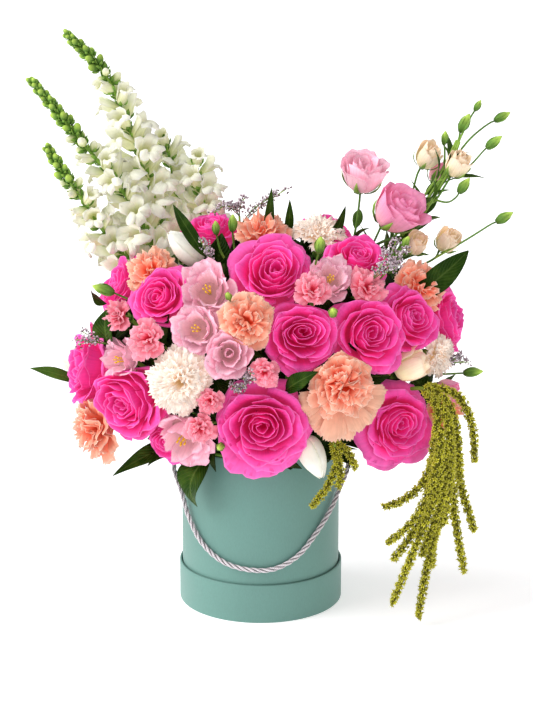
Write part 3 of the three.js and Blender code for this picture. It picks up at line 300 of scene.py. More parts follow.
def linear(value):
    """A colour written as sRGB hex, turned to linear light."""
    parts = [((value >> shift) & 255) / 255 for shift in (16, 8, 0)]
    return tuple(c / 12.92 if c <= 0.04045 else ((c + 0.055) / 1.055) ** 2.4 for c in parts)


BLACK, WHITE = linear(0x000000), linear(0xFFFFFF)


def length(name, description, millimetres):
    """A length property with its default in millimetres."""
    return FloatProperty(name=name, description=description, default=millimetres * MM, min=0, unit="LENGTH")


def colour(name, description, value):
    """A colour property with its default in sRGB hex."""
    return FloatVectorProperty(
        name=name, description=description, default=linear(value), size=3, min=0, max=1, subtype="COLOR",
    )


class BoxSizes(bpy.types.PropertyGroup):
    """Sizes of the card box, its cord and what it holds."""

    body_radius: length("Body radius", "Outside of the card body", 80)
    body_wall: length("Body wall", "Thickness of the card body", 2)
    body_bottom: length("Body bottom", "Height at which the body stands in the lid", 2.8)
    body_top: length("Body top", "Height of the rim", 170)
    lid_radius: length("Lid radius", "Outside of the lid that the box stands in", 83)
    lid_wall: length("Lid wall", "Thickness of the lid", 2.2)
    lid_height: length("Lid height", "Height of the lid's wall", 40)
    liner_radius: length("Liner radius", "Outside of the film that keeps the card dry", 67.8)
    liner_top: length("Liner top", "Height of the liner's edge", 130)
    foam_radius: length("Foam radius", "Outside of the wet foam", 65.4)
    foam_top: length("Foam top", "Height of the foam's top", 204)
    cord_diameter: length("Cord diameter", "Across the three twisted strands", 5)
    cord_lay: length("Cord lay", "Length in which a strand goes once round", 25)
    knot_radius: length("Knot radius", "Half the width of the knot inside the wall", 5.2)


class BoxColours(bpy.types.PropertyGroup):
    """Colours of the card, cord, liner and foam."""

    card: colour("Card", "Wrapped card of body and lid", 0x6C968D)
    cord: colour("Cord", "Silky yarn of the handle", 0xEAE2E8)
    liner: colour("Liner", "Dark film round the foam", 0x2C302E)
    foam: colour("Foam", "Wet floral foam", 0x2F5A34)


class PlantColours(bpy.types.PropertyGroup):
    """Colours of petals and leaves."""

    # The deep pink at the foot of each petal is partly its own colour and partly painted shade in the folds.
    rose_heart: colour("Rose heart", "Deep pink in the folds", 0xD80056)
    rose_petal: colour("Rose petal", "Hot pink of the petals", 0xEC2A92)
    rose_rim: colour("Rose rim", "Paler rolled rims", 0xF674C0)
    peach_heart: colour("Peach heart", "Coral inside the carnations", 0xEE5A34)
    peach_petal: colour("Peach petal", "Peach carnation petals", 0xFAA086)
    peach_rim: colour("Peach rim", "Pale edge of the ruffles", 0xFBD2C0)
    cream_heart: colour("Cream heart", "Warm cream heart", 0xF4D6A6)
    cream_petal: colour("Cream petal", "Cream carnation petals", 0xFAE8DA)
    pale_pink: colour("Pale pink", "Open lisianthus petals", 0xF8CAD8)
    clear_pink: colour("Clear pink", "Lisianthus standing at the top", 0xF6A4C6)
    spray_heart: colour("Spray heart", "Heart of the spray carnations", 0xE83A5C)
    spray_petal: colour("Spray petal", "Spray carnation petals", 0xF590A4)
    white_petal: colour("White petal", "Snapdragon and tulip petals", 0xF5F4E8)
    bud_green: colour("Bud green", "Young buds", 0xAECB58)
    leaf: colour("Leaf", "Upper face of the leaves", 0x203E04)
    stem: colour("Stem", "Stems and calyces", 0x648E36)
    amaranthus: colour("Amaranthus", "Hanging tassels", 0xD0CC28)
    limonium: colour("Sea lavender", "Dry papery florets", 0xC0A2B2)


class PlantCounts(bpy.types.PropertyGroup):
    """How many petals and grains are made."""

    rose_petals: IntProperty(name="Rose petals", description="Petals in one rose", default=23, min=8, max=60)
    carnation_petals: IntProperty(
        name="Carnation petals", description="Petals in one carnation", default=27, min=8, max=80,
    )
    spray_petals: IntProperty(
        name="Spray petals", description="Petals in one small carnation", default=16, min=8, max=60,
    )
    knots: FloatProperty(
        name="Knots per millimetre", description="Knots of grains on a millimetre of tassel",
        default=0.75, min=0.4, max=4,
    )
    seed: IntProperty(name="Seed", description="Start of every random draw", default=5, min=0)


class FlowerBox(bpy.types.PropertyGroup):
    """Everything that a user would change."""

    sizes: PointerProperty(type=BoxSizes)
    box: PointerProperty(type=BoxColours)
    plants: PointerProperty(type=PlantColours)
    counts: PointerProperty(type=PlantCounts)


def settings():
    """The properties of the open scene."""
    return bpy.context.scene.flower_box


# Directions and lines

def unit(v):
    """Vectors cut to a length of one."""
    return v / np.maximum(np.linalg.norm(v, axis=-1, keepdims=True), 1e-12)


def aim(azimuth, height):
    """Direction for an azimuth, where 0 faces the viewer and 90 faces right, and a height angle."""
    a, h = np.radians(azimuth), np.radians(height)
    return np.stack(np.broadcast_arrays(np.sin(a) * np.cos(h), -np.cos(a) * np.cos(h), np.sin(h)), -1)


def frames(directions, up=(0.0, 0.0, 1.0)):
    """Three axes for each direction: two across it, and itself."""
    w = unit(np.atleast_2d(directions))
    up = np.broadcast_to(np.asarray(up, float), w.shape).copy()
    up[np.abs((up * w).sum(-1)) > 0.97] = (0.0, 1.0, 0.0)
    u = unit(np.cross(up, w))
    return np.stack([u, np.cross(w, u), w], 1)


def spokes(angle, height=0.0):
    """Points on the unit circle at some angles, at a height."""
    return np.stack(np.broadcast_arrays(np.cos(angle), np.sin(angle), height), -1)


def column(value, count):
    """A value, or one for each of some petals, laid out to go with their grids."""
    return np.broadcast_to(np.asarray(value, float), (count,))[:, None, None]


def sample(line, at, run=None):
    """Points at some places of a line, on its straight steps. A place is a share of the steps, or a length
    where run gives the length at each point."""
    run = np.linspace(0, 1, len(line)) if run is None else run
    return np.stack([np.interp(at, run, line[:, k]) for k in range(3)], -1)


def spans(points, steps=60):
    """The centripetal Catmull-Rom line through some points, in even steps of each span's parameter: on each
    span it is the cubic whose slopes at both ends come from the spans beside it, weighed by the roots of
    their lengths."""
    p = np.asarray(points, float)
    p = np.vstack([2 * p[0] - p[1], p, 2 * p[-1] - p[-2]])
    x0, x1, x2, x3 = p[:-3], p[1:-2], p[2:-1], p[3:]
    d0, d1, d2 = (
        np.linalg.norm(b - a, axis=1, keepdims=True) ** 0.5 for a, b in ((x0, x1), (x1, x2), (x2, x3))
    )
    m1 = ((x1 - x0) / d0 - (x2 - x0) / (d0 + d1) + (x2 - x1) / d1) * d1
    m2 = ((x2 - x1) / d1 - (x3 - x1) / (d1 + d2) + (x3 - x2) / d2) * d1
    t = np.linspace(0, 1, steps, endpoint=False)[None, :, None]
    line = x1[:, None] + m1[:, None] * t + (3 * (x2 - x1) - 2 * m1 - m2)[:, None] * t**2
    line = line + (2 * (x1 - x2) + m1 + m2)[:, None] * t**3
    return np.vstack([line.reshape(-1, 3), p[-2]])


def through(points, count):
    """Evenly spaced points on the line through some points."""
    line = spans(points)
    run = np.concatenate([[0], np.cumsum(np.linalg.norm(np.diff(line, axis=0), axis=1))])
    return sample(line, np.linspace(0, run[-1], count), run)


def run_length(line):
    """Length of a line of points."""
    return float(np.linalg.norm(np.diff(line, axis=0), axis=1).sum())


# Surfaces
# A shape is a dict of points, faces, and for each point where it lies on its petal: along, across, layer.

def shape_of(points, faces, petal, tone, material=0):
    """Points, faces and marks of one shape."""
    return {"points": points, "faces": faces, "petal": petal, "tone": tone, "material": material}


def spread(faces, copies, size):
    """The same faces for each of some copies of a shape with size points."""
    return (faces[None] + (np.arange(copies) * size)[:, None, None]).reshape(-1, faces.shape[1])


def sheets(points, thickness, layer, tone, material=0, thin=0.45):
    """Closed petals or leaves. points are K grids of rows along and columns across. Each grid is moved half
    its thickness both ways along its normal, less at the rim, and a strip joins the two sheets round it."""
    count, rows, cols, _ = points.shape
    down = np.gradient(points, axis=1)
    side = np.gradient(points, axis=2)
    normal = unit(np.cross(side, down))
    t = np.linspace(0, 1, rows)[:, None]
    s = np.linspace(-1, 1, cols)[None, :]
    edge = np.clip(np.minimum((1 - t) * 4, (1 - np.abs(s)) * 3), 0, 1)
    half = 0.5 * np.asarray(thickness).reshape(-1, 1, 1) * (thin + (1 - thin) * edge)
    front = points + normal * half[..., None]
    back = points - normal * half[..., None]
    both = np.concatenate([front.reshape(count, -1, 3), back.reshape(count, -1, 3)], 1)
    index = np.arange(rows * cols).reshape(rows, cols)
    face = np.stack([index[:-1, :-1], index[:-1, 1:], index[1:, 1:], index[1:, :-1]], -1).reshape(-1, 4)
    size = rows * cols
    loop = np.concatenate([index[0, :-1], index[:-1, -1], index[-1, :0:-1], index[:0:-1, 0]])
    after = np.roll(loop, -1)
    rim = np.stack([after, loop, loop + size, after + size], -1)
    faces = np.concatenate([face, face[:, ::-1] + size, rim])
    marks = np.zeros((count, 2, rows, cols, 3))
    marks[..., 0] = t
    marks[..., 1] = s
    marks[..., 2] = np.asarray(layer, float).reshape(-1, 1, 1, 1)
    tones = np.repeat(np.broadcast_to(np.asarray(tone, float), (count,)), 2 * size)
    faces = [spread(faces, count, 2 * size)]
    return shape_of(both.reshape(-1, 3), faces, marks.reshape(-1, 3), tones, material)


def lofts(rings, first, last, layer=0.0, tone=0.5, material=0):
    """Closed bodies through rings. rings is K by rows by sides, and a point closes each end."""
    count, rows, sides, _ = rings.shape
    points = np.concatenate([first[:, None], rings.reshape(count, -1, 3), last[:, None]], 1)
    j = np.arange(sides)
    k = (j + 1) % sides
    r = (np.arange(rows - 1) * sides + 1)[:, None]
    quads = np.stack([r + j, r + k, r + sides + k, r + sides + j], -1).reshape(-1, 4)
    end = 1 + (rows - 1) * sides
    zero = np.zeros(sides, int)
    caps = np.concatenate([
        np.stack([zero, 1 + k, 1 + j], -1), np.stack([zero + rows * sides + 1, end + j, end + k], -1),
    ])
    size = rows * sides + 2
    along = np.concatenate([[0], np.repeat(np.linspace(0, 1, rows), sides), [1]])
    round_it = np.concatenate([[0], np.tile(np.linspace(-1, 1, sides), rows), [0]])
    marks = np.zeros((count, size, 3))
    marks[..., 0] = along
    marks[..., 1] = round_it
    marks[..., 2] = np.asarray(layer, float).reshape(-1, 1)
    tones = np.repeat(np.broadcast_to(np.asarray(tone, float), (count,)), size)
    faces = [spread(quads, count, size), spread(caps, count, size)]
    return shape_of(points.reshape(-1, 3), faces, marks.reshape(-1, 3), tones, material)


def tubes(lines, radii, sides=7, tone=0.5, material=0):
    """Round rods. Each ring lies square to its line, turned so that its first point keeps facing one
    fixed way across the rod, and its radius is given for each point of the line."""
    lines = np.asarray(lines, float)
    if lines.ndim == 2:
        lines = lines[None]
    t = unit(np.gradient(lines, axis=1))
    chord = unit(lines[:, -1] - lines[:, 0])
    fixed = frames(chord)[:, 0]
    u = unit(fixed[:, None] - (fixed[:, None] * t).sum(-1, keepdims=True) * t)
    v = np.cross(t, u)
    a = (2 * np.pi * np.arange(sides) / sides)[:, None]
    radii = np.broadcast_to(np.asarray(radii, float), lines.shape[:2])[..., None, None]
    ring = u[:, :, None] * np.cos(a) + v[:, :, None] * np.sin(a)
    return lofts(lines[:, :, None] + radii * ring, lines[:, 0], lines[:, -1], 0.0, tone, material)


def stem(points, first, last, count=30, sides=7):
    """A green stem along the line through some points, with its radius at each end in millimetres."""
    return tubes(through(points, count) * MM, np.linspace(first, last, count) * MM, sides, material=GREEN)


def turned(profile, sides, tone=0.5, material=0):
    """A profile of radius and height, from its lowest middle point to its highest, carried round Z."""
    profile = np.asarray(profile, float)
    ring = spokes(2 * np.pi * np.arange(sides) / sides)
    rings = profile[1:-1, None, :1] * ring + profile[1:-1, None, 1:] * np.array([0, 0, 1.0])
    ends = [np.array([[0, 0, profile[k, 1]]]) for k in (0, -1)]
    return lofts(rings[None], *ends, 0.0, tone, material)


def repeat(shape, origins, axes, scales, tones=None):
    """The same shape set down many times: each copy is scaled, turned to its axes and moved."""
    count = len(origins)
    scales = np.asarray(scales, float).reshape(count, 1, -1)
    points = np.einsum("fnk,fkj->fnj", shape["points"][None] * scales, axes) + np.asarray(origins)[:, None]
    size = len(shape["points"])
    faces = [spread(f, count, size) for f in shape["faces"]]
    tone = np.tile(shape["tone"], count) if tones is None else np.repeat(tones, size)
    marks = np.tile(shape["petal"], (count, 1))
    return shape_of(points.reshape(-1, 3), faces, marks, tone, shape["material"])


def cubic(control, p):
    """Radius and height on K cubics through four control points each, at parameters p."""
    w = np.stack([(1 - p) ** 3, 3 * p * (1 - p) ** 2, 3 * p**2 * (1 - p), p**3], -1)
    c = np.asarray(control, float)[:, None, None]
    return (w * c[..., 0]).sum(-1), (w * c[..., 1]).sum(-1)


def controls(count, *pairs):
    """Four control points for each of some petals, from pairs of radius and height."""
    return np.stack([
        np.stack([column(value, count)[:, 0, 0] for value in pair], -1) for pair in pairs
    ], 1)


def cup_petals(
    turn, control, half, roll, wave, waves, rng, rows=9, cols=11, round_off=0.17, helix=0.03, tuck=0.0,
    nick=0.015,
):
    """Petals of a cup, in radii of the bloom. Petal k is a piece of a turned surface: its middle line is a
    cubic from the seed cup to the rim, and it reaches half an angle to each side. Its rim falls off towards
    the sides and has small nicks, one side lies under its neighbour, both tuck in, and the rim rolls
    outwards, at the sides more than in the middle, and is waved by sines."""
    count = len(turn)
    t = np.linspace(0, 1, rows)[None, :, None]
    s = np.linspace(-1, 1, cols)[None, None, :]
    f1, f2, f3 = (rng.uniform(0, 2 * np.pi, (count, 1, 1)) for _ in range(3))
    p = t * (1 - round_off * np.abs(s) ** 3) + nick * rng.uniform(-1, 1, (count, 1, cols)) * t**6
    r, h = cubic(control, p)
    k = np.clip((p - 0.74) / 0.26, 0, 1.2) ** 2
    side = np.abs(s) ** 1.6 * p**4
    helix, roll, wave, waves = (column(value, count) for value in (helix, roll, wave, waves))
    r = r * (1 + helix * s * p - tuck * s**2 * p)
    r = r + roll * (0.8 * k + 0.8 * side)
    h = h - roll * (0.7 * k + 0.9 * side)
    h = h + wave * (np.sin(waves * s + f1) * p**3 + 0.5 * np.sin(3.1 * waves * s + f3) * p**6)
    r = r + wave * (0.8 * np.sin(0.8 * waves * s + f2) * p**3 + 0.4 * np.sin(2.7 * waves * s + f1) * p**6)
    ease = np.clip(p / 0.55, 0, 1)
    angle = column(turn, count) + s * column(half, count) * (0.8 + 0.2 * ease * (2 - ease))
    return np.stack([r * np.cos(angle), r * np.sin(angle), h], -1)


def fan_petals(turn, control, width, ruffle, waves, teeth, rng, rows=7, cols=17):
    """Petals of a carnation, in radii of the bloom. The middle line of each is a cubic. The petal widens from
    a narrow claw to a fan, is pushed to and fro across its face by two sines that grow towards the rim, and
    its rim is cut into small teeth."""
    count = len(turn)
    t = np.linspace(0, 1, rows)[None, :, None]
    s = np.linspace(-1, 1, cols)[None, None, :]
    f1, f2 = (rng.uniform(0, 2 * np.pi, (count, 1, 1)) for _ in range(2))
    saw = np.where(np.arange(cols) % 2 == 0, 1.0, -1.0) + rng.uniform(-0.8, 0.8, (count, 1, cols))
    turn, width, ruffle, waves = (column(value, count) for value in (turn, width, ruffle, waves))
    p = np.maximum(t * (1 - 0.13 * s**2) + teeth * saw * t**8, 0)
    r, h = cubic(control, p)
    r2, h2 = cubic(control, p + 0.01)
    slope = np.stack([r2 - r, h2 - h], -1)
    slope = slope / np.maximum(np.linalg.norm(slope, axis=-1, keepdims=True), 1e-9)
    wide = width * (0.14 + 0.86 * np.minimum(p, 1) ** 1.2)
    push = ruffle * np.minimum(p, 1.1) ** 2
    push = push * (np.sin(waves * s + f1) + 0.5 * np.sin(2.3 * waves * s + f2))
    across = s * wide + 0.3 * ruffle * p**2 * np.cos(waves * s + f1)
    r = r - push * slope[..., 1]
    h = h + push * slope[..., 0]
    bow = across**2 / (2 * (np.abs(r) + 0.4))
    x = r - bow
    c, d = np.cos(turn), np.sin(turn)
    return np.stack([x * c - across * d, x * d + across * c, h], -1)


def leaf_blades(foot, tip, width, facing, bend, rng, rows=11, cols=7, material=0, edge=0.03, thick=0.45 * MM):
    """Leaf blades. The middle line is a parabola from foot to tip. The half width is a power of a sine that
    is fullest before the middle and ends in a point, the two halves fold up along the rib, and the edge is
    lifted by a slow sine that dies out at the tip."""
    foot, tip = np.atleast_2d(foot), np.atleast_2d(tip)
    count = len(foot)
    run = np.linalg.norm(tip - foot, axis=1)[:, None, None, None]
    along = unit(tip - foot)
    normal = unit(facing - (facing * along).sum(-1, keepdims=True) * along)
    side = np.cross(along, normal)
    t = np.linspace(0, 1, rows)[None, :, None]
    s = np.linspace(-1, 1, cols)[None, None, :]
    f = rng.uniform(0, 2 * np.pi, (count, 1, 1))
    half = column(width, count) / 2 * (0.04 + 0.96 * np.sin(np.pi * np.clip(t, 0, 1) ** 0.8) ** 0.9)
    middle = foot[:, None, None] + along[:, None, None] * run * t[..., None]
    arc = column(bend, count) * run[..., 0] * 4 * t * (1 - t)
    wave = edge * run[..., 0] * (1 - t**4) * np.sin(7 * t + f)
    lift = arc + half * 0.32 * np.abs(s) ** 1.5 + wave * s * np.abs(s)
    points = middle + side[:, None, None] * (s * half)[..., None] + normal[:, None, None] * lift[..., None]
    return sheets(points, thick, 0.5, rng.uniform(0, 1, count), material, thin=0.5)


def build_piece(name, shapes, looks, node):
    """Puts shapes into one mesh object with its materials, rides it on the frame and lets it stand for its
    node."""
    points = np.concatenate([s["points"] for s in shapes])
    starts = np.cumsum([0] + [len(s["points"]) for s in shapes])
    corners, sizes, places = [], [], []
    for shape, start in zip(shapes, starts):
        for faces in shape["faces"]:
            corners.append((faces + start).ravel())
            sizes.append(np.full(len(faces), faces.shape[1]))
            places.append(np.full(len(faces), shape["material"]))
    corners, sizes, places = np.concatenate(corners), np.concatenate(sizes), np.concatenate(places)
    mesh = bpy.data.meshes.new(name)
    mesh.vertices.add(len(points))
    mesh.vertices.foreach_set("co", points.astype(np.float32).ravel())
    mesh.loops.add(len(corners))
    mesh.loops.foreach_set("vertex_index", corners.astype(np.int32))
    mesh.polygons.add(len(sizes))
    mesh.polygons.foreach_set("loop_start", np.concatenate([[0], np.cumsum(sizes)[:-1]]).astype(np.int32))
    mesh.polygons.foreach_set("material_index", places.astype(np.int32))
    mesh.update(calc_edges=True)
    mesh.shade_smooth()
    petal = mesh.attributes.new("petal", "FLOAT_VECTOR", "POINT")
    petal.data.foreach_set("vector", np.concatenate([s["petal"] for s in shapes]).astype(np.float32).ravel())
    tone = mesh.attributes.new("tone", "FLOAT", "POINT")
    tone.data.foreach_set("value", np.concatenate([s["tone"] for s in shapes]).astype(np.float32))
    for look in looks:
        mesh.materials.append(finish(look))
    piece = bpy.data.objects.new(name, mesh)
    bpy.context.scene.collection.objects.link(piece)
    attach(piece, "root")
    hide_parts(node)
    return piece


# Blooms in their cells

Cells = namedtuple("Cells", "face radius facing centre normal limit")
Place = namedtuple("Place", "middle radius facing axes")


def bloom_cells():
    """Face, radius, facing and centre of every bloom, and the planes that part it from its neighbours: each
    stands across the line between two centres and shares it out by their radii."""
    kind, _, face, width, azimuth, height, _ = (np.array(column) for column in zip(*BLOOMS))
    face = face * MM
    radius = width / 2 * BLOOM_SCALE * MM
    facing = aim(azimuth, height)
    centre = face + facing * (np.where(kind == "tulip", 0.3, -0.25) * radius)[:, None]
    gap = centre[None] - centre[:, None]
    distance = np.linalg.norm(gap, axis=-1)
    normal = gap / np.maximum(distance, 1e-9)[..., None]
    share = radius[:, None] / (radius[:, None] + radius[None])
    return Cells(face, radius, facing, centre, normal, distance * share - CELL_GAP * MM)


CELLS = bloom_cells()


def press(points, index):
    """Moves points of a bloom into its cell: up to three quarters of the way to the nearest plane a point
    stays, and what is beyond is squeezed into the last quarter by an exponential."""
    others = np.arange(len(BLOOMS)) != index
    offset = points - CELLS.centre[index]
    reach = np.linalg.norm(offset, axis=-1, keepdims=True)
    u = offset / np.maximum(reach, 1e-9)
    ahead = u @ CELLS.normal[index][others].T
    limit = CELLS.limit[index][others] * CROWDED.get(BLOOMS[index].node, CELL_SLACK)
    room = np.where(ahead > 1e-3, limit / np.maximum(ahead, 1e-3), FAR).min(-1, keepdims=True)
    knee = 0.76 * room
    rest = np.maximum(room - knee, 1e-9)
    pressed = knee + rest * (1 - np.exp(-np.maximum(reach - knee, 0) / rest))
    return CELLS.centre[index] + u * np.where(reach <= knee, reach, pressed)


def place_at(middle, radius, facing):
    """Where a bloom is, and the three axes that it is turned to."""
    return Place(middle, radius, facing, frames(facing)[0])


def place_of(index):
    """The place of a bloom of the list."""
    return place_at(CELLS.face[index], CELLS.radius[index], CELLS.facing[index])


def put(local, place):
    """Takes points in radii of the bloom to their place."""
    return place.middle + place.radius * (local @ place.axes)


def settle(local, index):
    """Puts points of a bloom in their place and presses them into its cell."""
    return press(put(local, place_of(index)), index)


def stem_of(index, radius, joint=None):
    """The stem under a bloom, from its neck into the foam or to the joint with its neighbour's stem."""
    bloom = BLOOMS[index]
    face, r, facing = CELLS.face[index] / MM, CELLS.radius[index] / MM, CELLS.facing[index]
    below = BASE_OF[bloom.kind]
    neck = face - facing * (below * r - 1)
    if joint is None:
        base = face - facing * (below + 0.1) * r
        flat = math.hypot(base[0], base[1])
        reach = min(ROOT_RADIUS, 6 + flat * 0.34)
        low = LOW_ROOT_Z if base[2] < LOW_BLOOM_Z else ROOT_Z
        root = np.array([base[0] / flat * reach, base[1] / flat * reach, low]) + bloom.shift
        first = root + (base - root) * 0.42
    else:
        root, first = joint, joint
    t = np.linspace(0, 1, 9)[:, None]
    straight = root + (neck - root) * t
    line = straight - facing * (t**3 * (1 - t) * 0.5 * np.linalg.norm(neck - root))
    wide = radius * (1 + 0.5 * t[:, 0] ** 6)
    return tubes(line * MM, wide * MM, material=GREEN), first


def members(node):
    """Indices of the blooms that a node holds."""
    return [k for k, bloom in enumerate(BLOOMS) if bloom.node == node]


def nodes_of(*kinds):
    """Names of the nodes that hold blooms of some kinds, in order."""
    return list(dict.fromkeys(bloom.node for bloom in BLOOMS if bloom.kind in kinds))


def draws(name):
    """Seeded draws of a piece's own."""
    return np.random.default_rng([settings().counts.seed, *name.encode()])


def sepals(place, foot, tip, wide, ahead, bend, rng):
    """Five pointed sepals: folded blades from one ring round the bloom's axis to another, each given as its
    radius and height. They face inwards, and by ahead also the way that the bloom faces."""
    out = spokes(2 * np.pi * (np.arange(5) + rng.uniform()) / 5)
    ends = [put(out * r + [0, 0, z], place) for r, z in (foot, tip)]
    normal = ahead * place.facing - out @ place.axes
    return leaf_blades(*ends, place.radius * wide, normal, bend, rng, rows=7, cols=3, material=GREEN)


def calyx(place, low, wide, high, long, rng):
    """The green cup under a bloom, a turned profile, and its sepals."""
    cup = turned(
        [(0, low), (wide * 0.5, low + 0.02), (wide, (low + high) / 2), (wide * 0.9, high), (0, high)], 12,
        material=GREEN,
    )
    cup["points"] = put(cup["points"], place)
    tip = (wide + long * 0.85, low + long * 0.62)
    return [cup, sepals(place, (wide * 0.7, low + 0.03), tip, 0.2, 1, -0.12, rng)]


def rose(index, rng):
    """One garden rose. Petal k stands at k golden angles. Heart petals are low cones that wrap half round, in
    a hollow that lies a little to one side and is squeezed to an oval. Further out the rim rises, opens,
    lowers and rolls back. Guard petals below arch out and fill the room beside the bloom, and some roses let
    a few of them hang: those have an azimuth, a reach and a height."""
    petals = settings().counts.rose_petals
    q = (np.arange(petals) + 0.5) / petals
    turn = np.arange(petals) * GOLDEN + rng.uniform(0, 6) + rng.normal(0, 0.18, petals)
    rim = (0.05 + 0.89 * q**0.95) * rng.uniform(0.91, 1.07, petals)
    high = 0.1 + 0.66 * q - 0.8 * q**2 + rng.uniform(-0.04, 0.04, petals)
    guard = [
        (72 * k + rng.uniform(-18, 18), rng.uniform(0.98, 1.1), rng.uniform(-0.32, -0.16)) for k in range(5)
    ]
    guard = np.array(guard + DROOPS.get(BLOOMS[index].node, []))
    lean = np.append(np.zeros(petals), np.ones(len(guard)))
    turn = np.append(turn, np.radians(guard[:, 0]))
    rim = np.append(rim, guard[:, 1])
    high = np.append(high, guard[:, 2])
    q = np.append(q, np.ones(len(guard)))
    control = controls(
        len(q), (0.05, -0.8), (0.12 + 0.66 * rim, -0.66),
        (rim * (1.24 - 0.5 * q), high - 0.38 + 0.22 * q + 0.26 * lean), (rim, high),
    )
    half = np.radians(104 - 56 * q**0.6)
    roll, wave, helix = 0.01 + 0.13 * q**1.5, 0.025 + 0.06 * q, 0.14 - 0.07 * q
    local = cup_petals(
        turn, control, half, roll, wave, 3.2, rng, cols=13, round_off=0.12, helix=helix, tuck=0.13, nick=0.02,
    )
    shift = rng.normal(0, 0.07, 2)
    local[..., :2] += shift * ((1 - q) ** 1.5)[:, None, None, None]
    fold = spokes(rng.uniform(0, np.pi))[:2]
    squeeze = rng.uniform(0.14, 0.3) * (1 - q) ** 0.7
    local[..., :2] -= (local[..., :2] @ fold)[..., None] * fold * squeeze[:, None, None, None]
    local[..., 2] += local[..., 0] * rng.normal(0, 0.05) + local[..., 1] * rng.normal(0, 0.05)
    tone = rng.uniform(0, 1, len(q))
    return sheets(settle(local, index), (0.6 - 0.2 * q) * MM, q + 0.7 * lean, tone)


def carnation(index, rng, petals, frill):
    """One carnation. The rims of its petals cover a low dome evenly. Inner petals stand up and are folded to
    and fro, outer ones lie out flatter, and a skirt of smooth pale petals may hang under the head, which is
    then smaller and set higher."""
    skirt = SKIRTS.get(BLOOMS[index].node, 0)
    total = petals + skirt
    q = np.append((np.arange(petals) + 0.5) / petals, np.ones(skirt))
    under = np.append(np.zeros(petals), np.ones(skirt))
    turn = np.append(np.arange(petals) * GOLDEN, -np.pi / 2 + (np.arange(skirt) - skirt / 2 + 0.5) * 0.36)
    turn = turn + np.where(under > 0, rng.normal(0, 0.05, total), rng.uniform(0, 6))
    head = 0.86 if skirt else 1.04
    rim = (head * (0.1 + 0.9 * q**0.75) + (1.2 - head) * under) * rng.uniform(0.93, 1.05, total)
    high = 0.34 + 0.1 * q - 0.56 * q**2 - 0.1 * under + rng.uniform(-0.07, 0.07, total)
    control = controls(
        total, (0.05, -0.5), (0.07 + 0.1 * q, -0.1 - 0.2 * q),
        (0.1 + 0.5 * q, high + 0.02 + 0.08 * q + 0.1 * under), (rim, high),
    )
    width = (0.2 + 0.06 * q) if frill else np.where(under > 0, 0.37, 0.36 + 0.12 * q)
    ruffle = (0.07 - 0.01 * q) if frill else (0.2 - 0.1 * q**1.5) * (1 - 0.66 * under)
    waves = rng.uniform(4.5, 7, total) if frill else rng.uniform(2.8, 4.4, total)
    cols = 11 if frill else 15 if petals < 20 else 19
    teeth = 0.045 if frill else 0.016
    local = fan_petals(turn, control, width, ruffle, waves, teeth, rng, cols=cols)
    if skirt:
        local[..., 1] += 0.16 * (1 - under)[:, None, None]
    return sheets(settle(local, index), 0.4 * MM, q + 0.7 * under, rng.uniform(0, 1, total))


def cup_bloom(rng, whorls, place, index=None):
    """A cup of a few whorls. Each whorl: petals, rim radius, rim height, half angle, roll, wave, depth. The
    petals of a whorl stand a little higher or lower than one another. With an index the cup is pressed into
    that bloom's cell."""
    shapes = []
    for k, (count, rim, high, half, roll, wave, deep) in enumerate(whorls):
        turn = 2 * np.pi * (np.arange(count) + 0.5 * k + rng.uniform(-0.12, 0.12, count)) / count
        control = controls(
            count, (0.08, -0.9), (0.2 + 0.5 * rim * deep, -0.86), (rim * (0.35 + 0.5 * deep), high - 0.5),
            (rim, high),
        )
        control[:, 3] += rng.uniform(-0.09, 0.09, (count, 2))
        local = cup_petals(
            turn, control, half, roll, wave, 3.6, rng, round_off=0.2, helix=0.12, tuck=0.1, nick=0.02,
        )
        points = put(local, place) if index is None else settle(local, index)
        layer = np.full(count, (len(whorls) - k) / len(whorls))
        shapes.append(sheets(points, 0.5 * MM, layer, rng.uniform(0, 1, count)))
    return shapes


TRUMPET_WHORLS = [
    (5, 1.0, -0.02, 0.76, 0.15, 0.13, 0.75), (5, 0.8, 0.2, 0.72, 0.13, 0.14, 0.95),
    (4, 0.56, 0.3, 0.86, 0.08, 0.12, 1.1),
]
GOBLET_WHORLS = [
    (5, 0.94, 0.22, 0.76, 0.15, 0.1, 1.0), (5, 0.7, 0.34, 0.76, 0.1, 0.1, 1.1),
    (4, 0.46, 0.36, 0.9, 0.05, 0.07, 1.2), (3, 0.15, 0.28, 1.4, 0.02, 0.03, 1.3),
]
CLOSED_WHORLS = [
    (4, 0.62, 0.5, 0.86, 0.04, 0.05, 1.7), (4, 0.42, 0.66, 0.95, 0.03, 0.04, 1.9),
    (3, 0.2, 0.68, 1.2, 0.01, 0.02, 2.0),
]
TALL_WHORLS = [
    (5, 0.9, 0.46, 0.9, 0.13, 0.06, 1.2), (4, 0.68, 0.54, 0.94, 0.07, 0.05, 1.35),
    (4, 0.46, 0.5, 0.95, 0.03, 0.04, 1.5), (3, 0.2, 0.48, 1.2, 0.01, 0.02, 1.6),
]
# Whorls of the cups at the top, and which of their piece's materials they have
TOP_CUPS = {
    "goblet": (TALL_WHORLS, 0), "pale goblet": (TALL_WHORLS, 5), "cuplet": (CLOSED_WHORLS, 2),
    "pink cuplet": (CLOSED_WHORLS, 0),
}


def bell(index):
    """The closed base of an open cup: a thin turned bowl that its petals spring from."""
    bowl = turned([(0, -0.88), (0.3, -0.82), (0.6, -0.5), (0.57, -0.46), (0.27, -0.74), (0, -0.8)], 18)
    bowl["points"] = settle(bowl["points"], index)
    bowl["petal"][:, 0] = 0.0
    return bowl


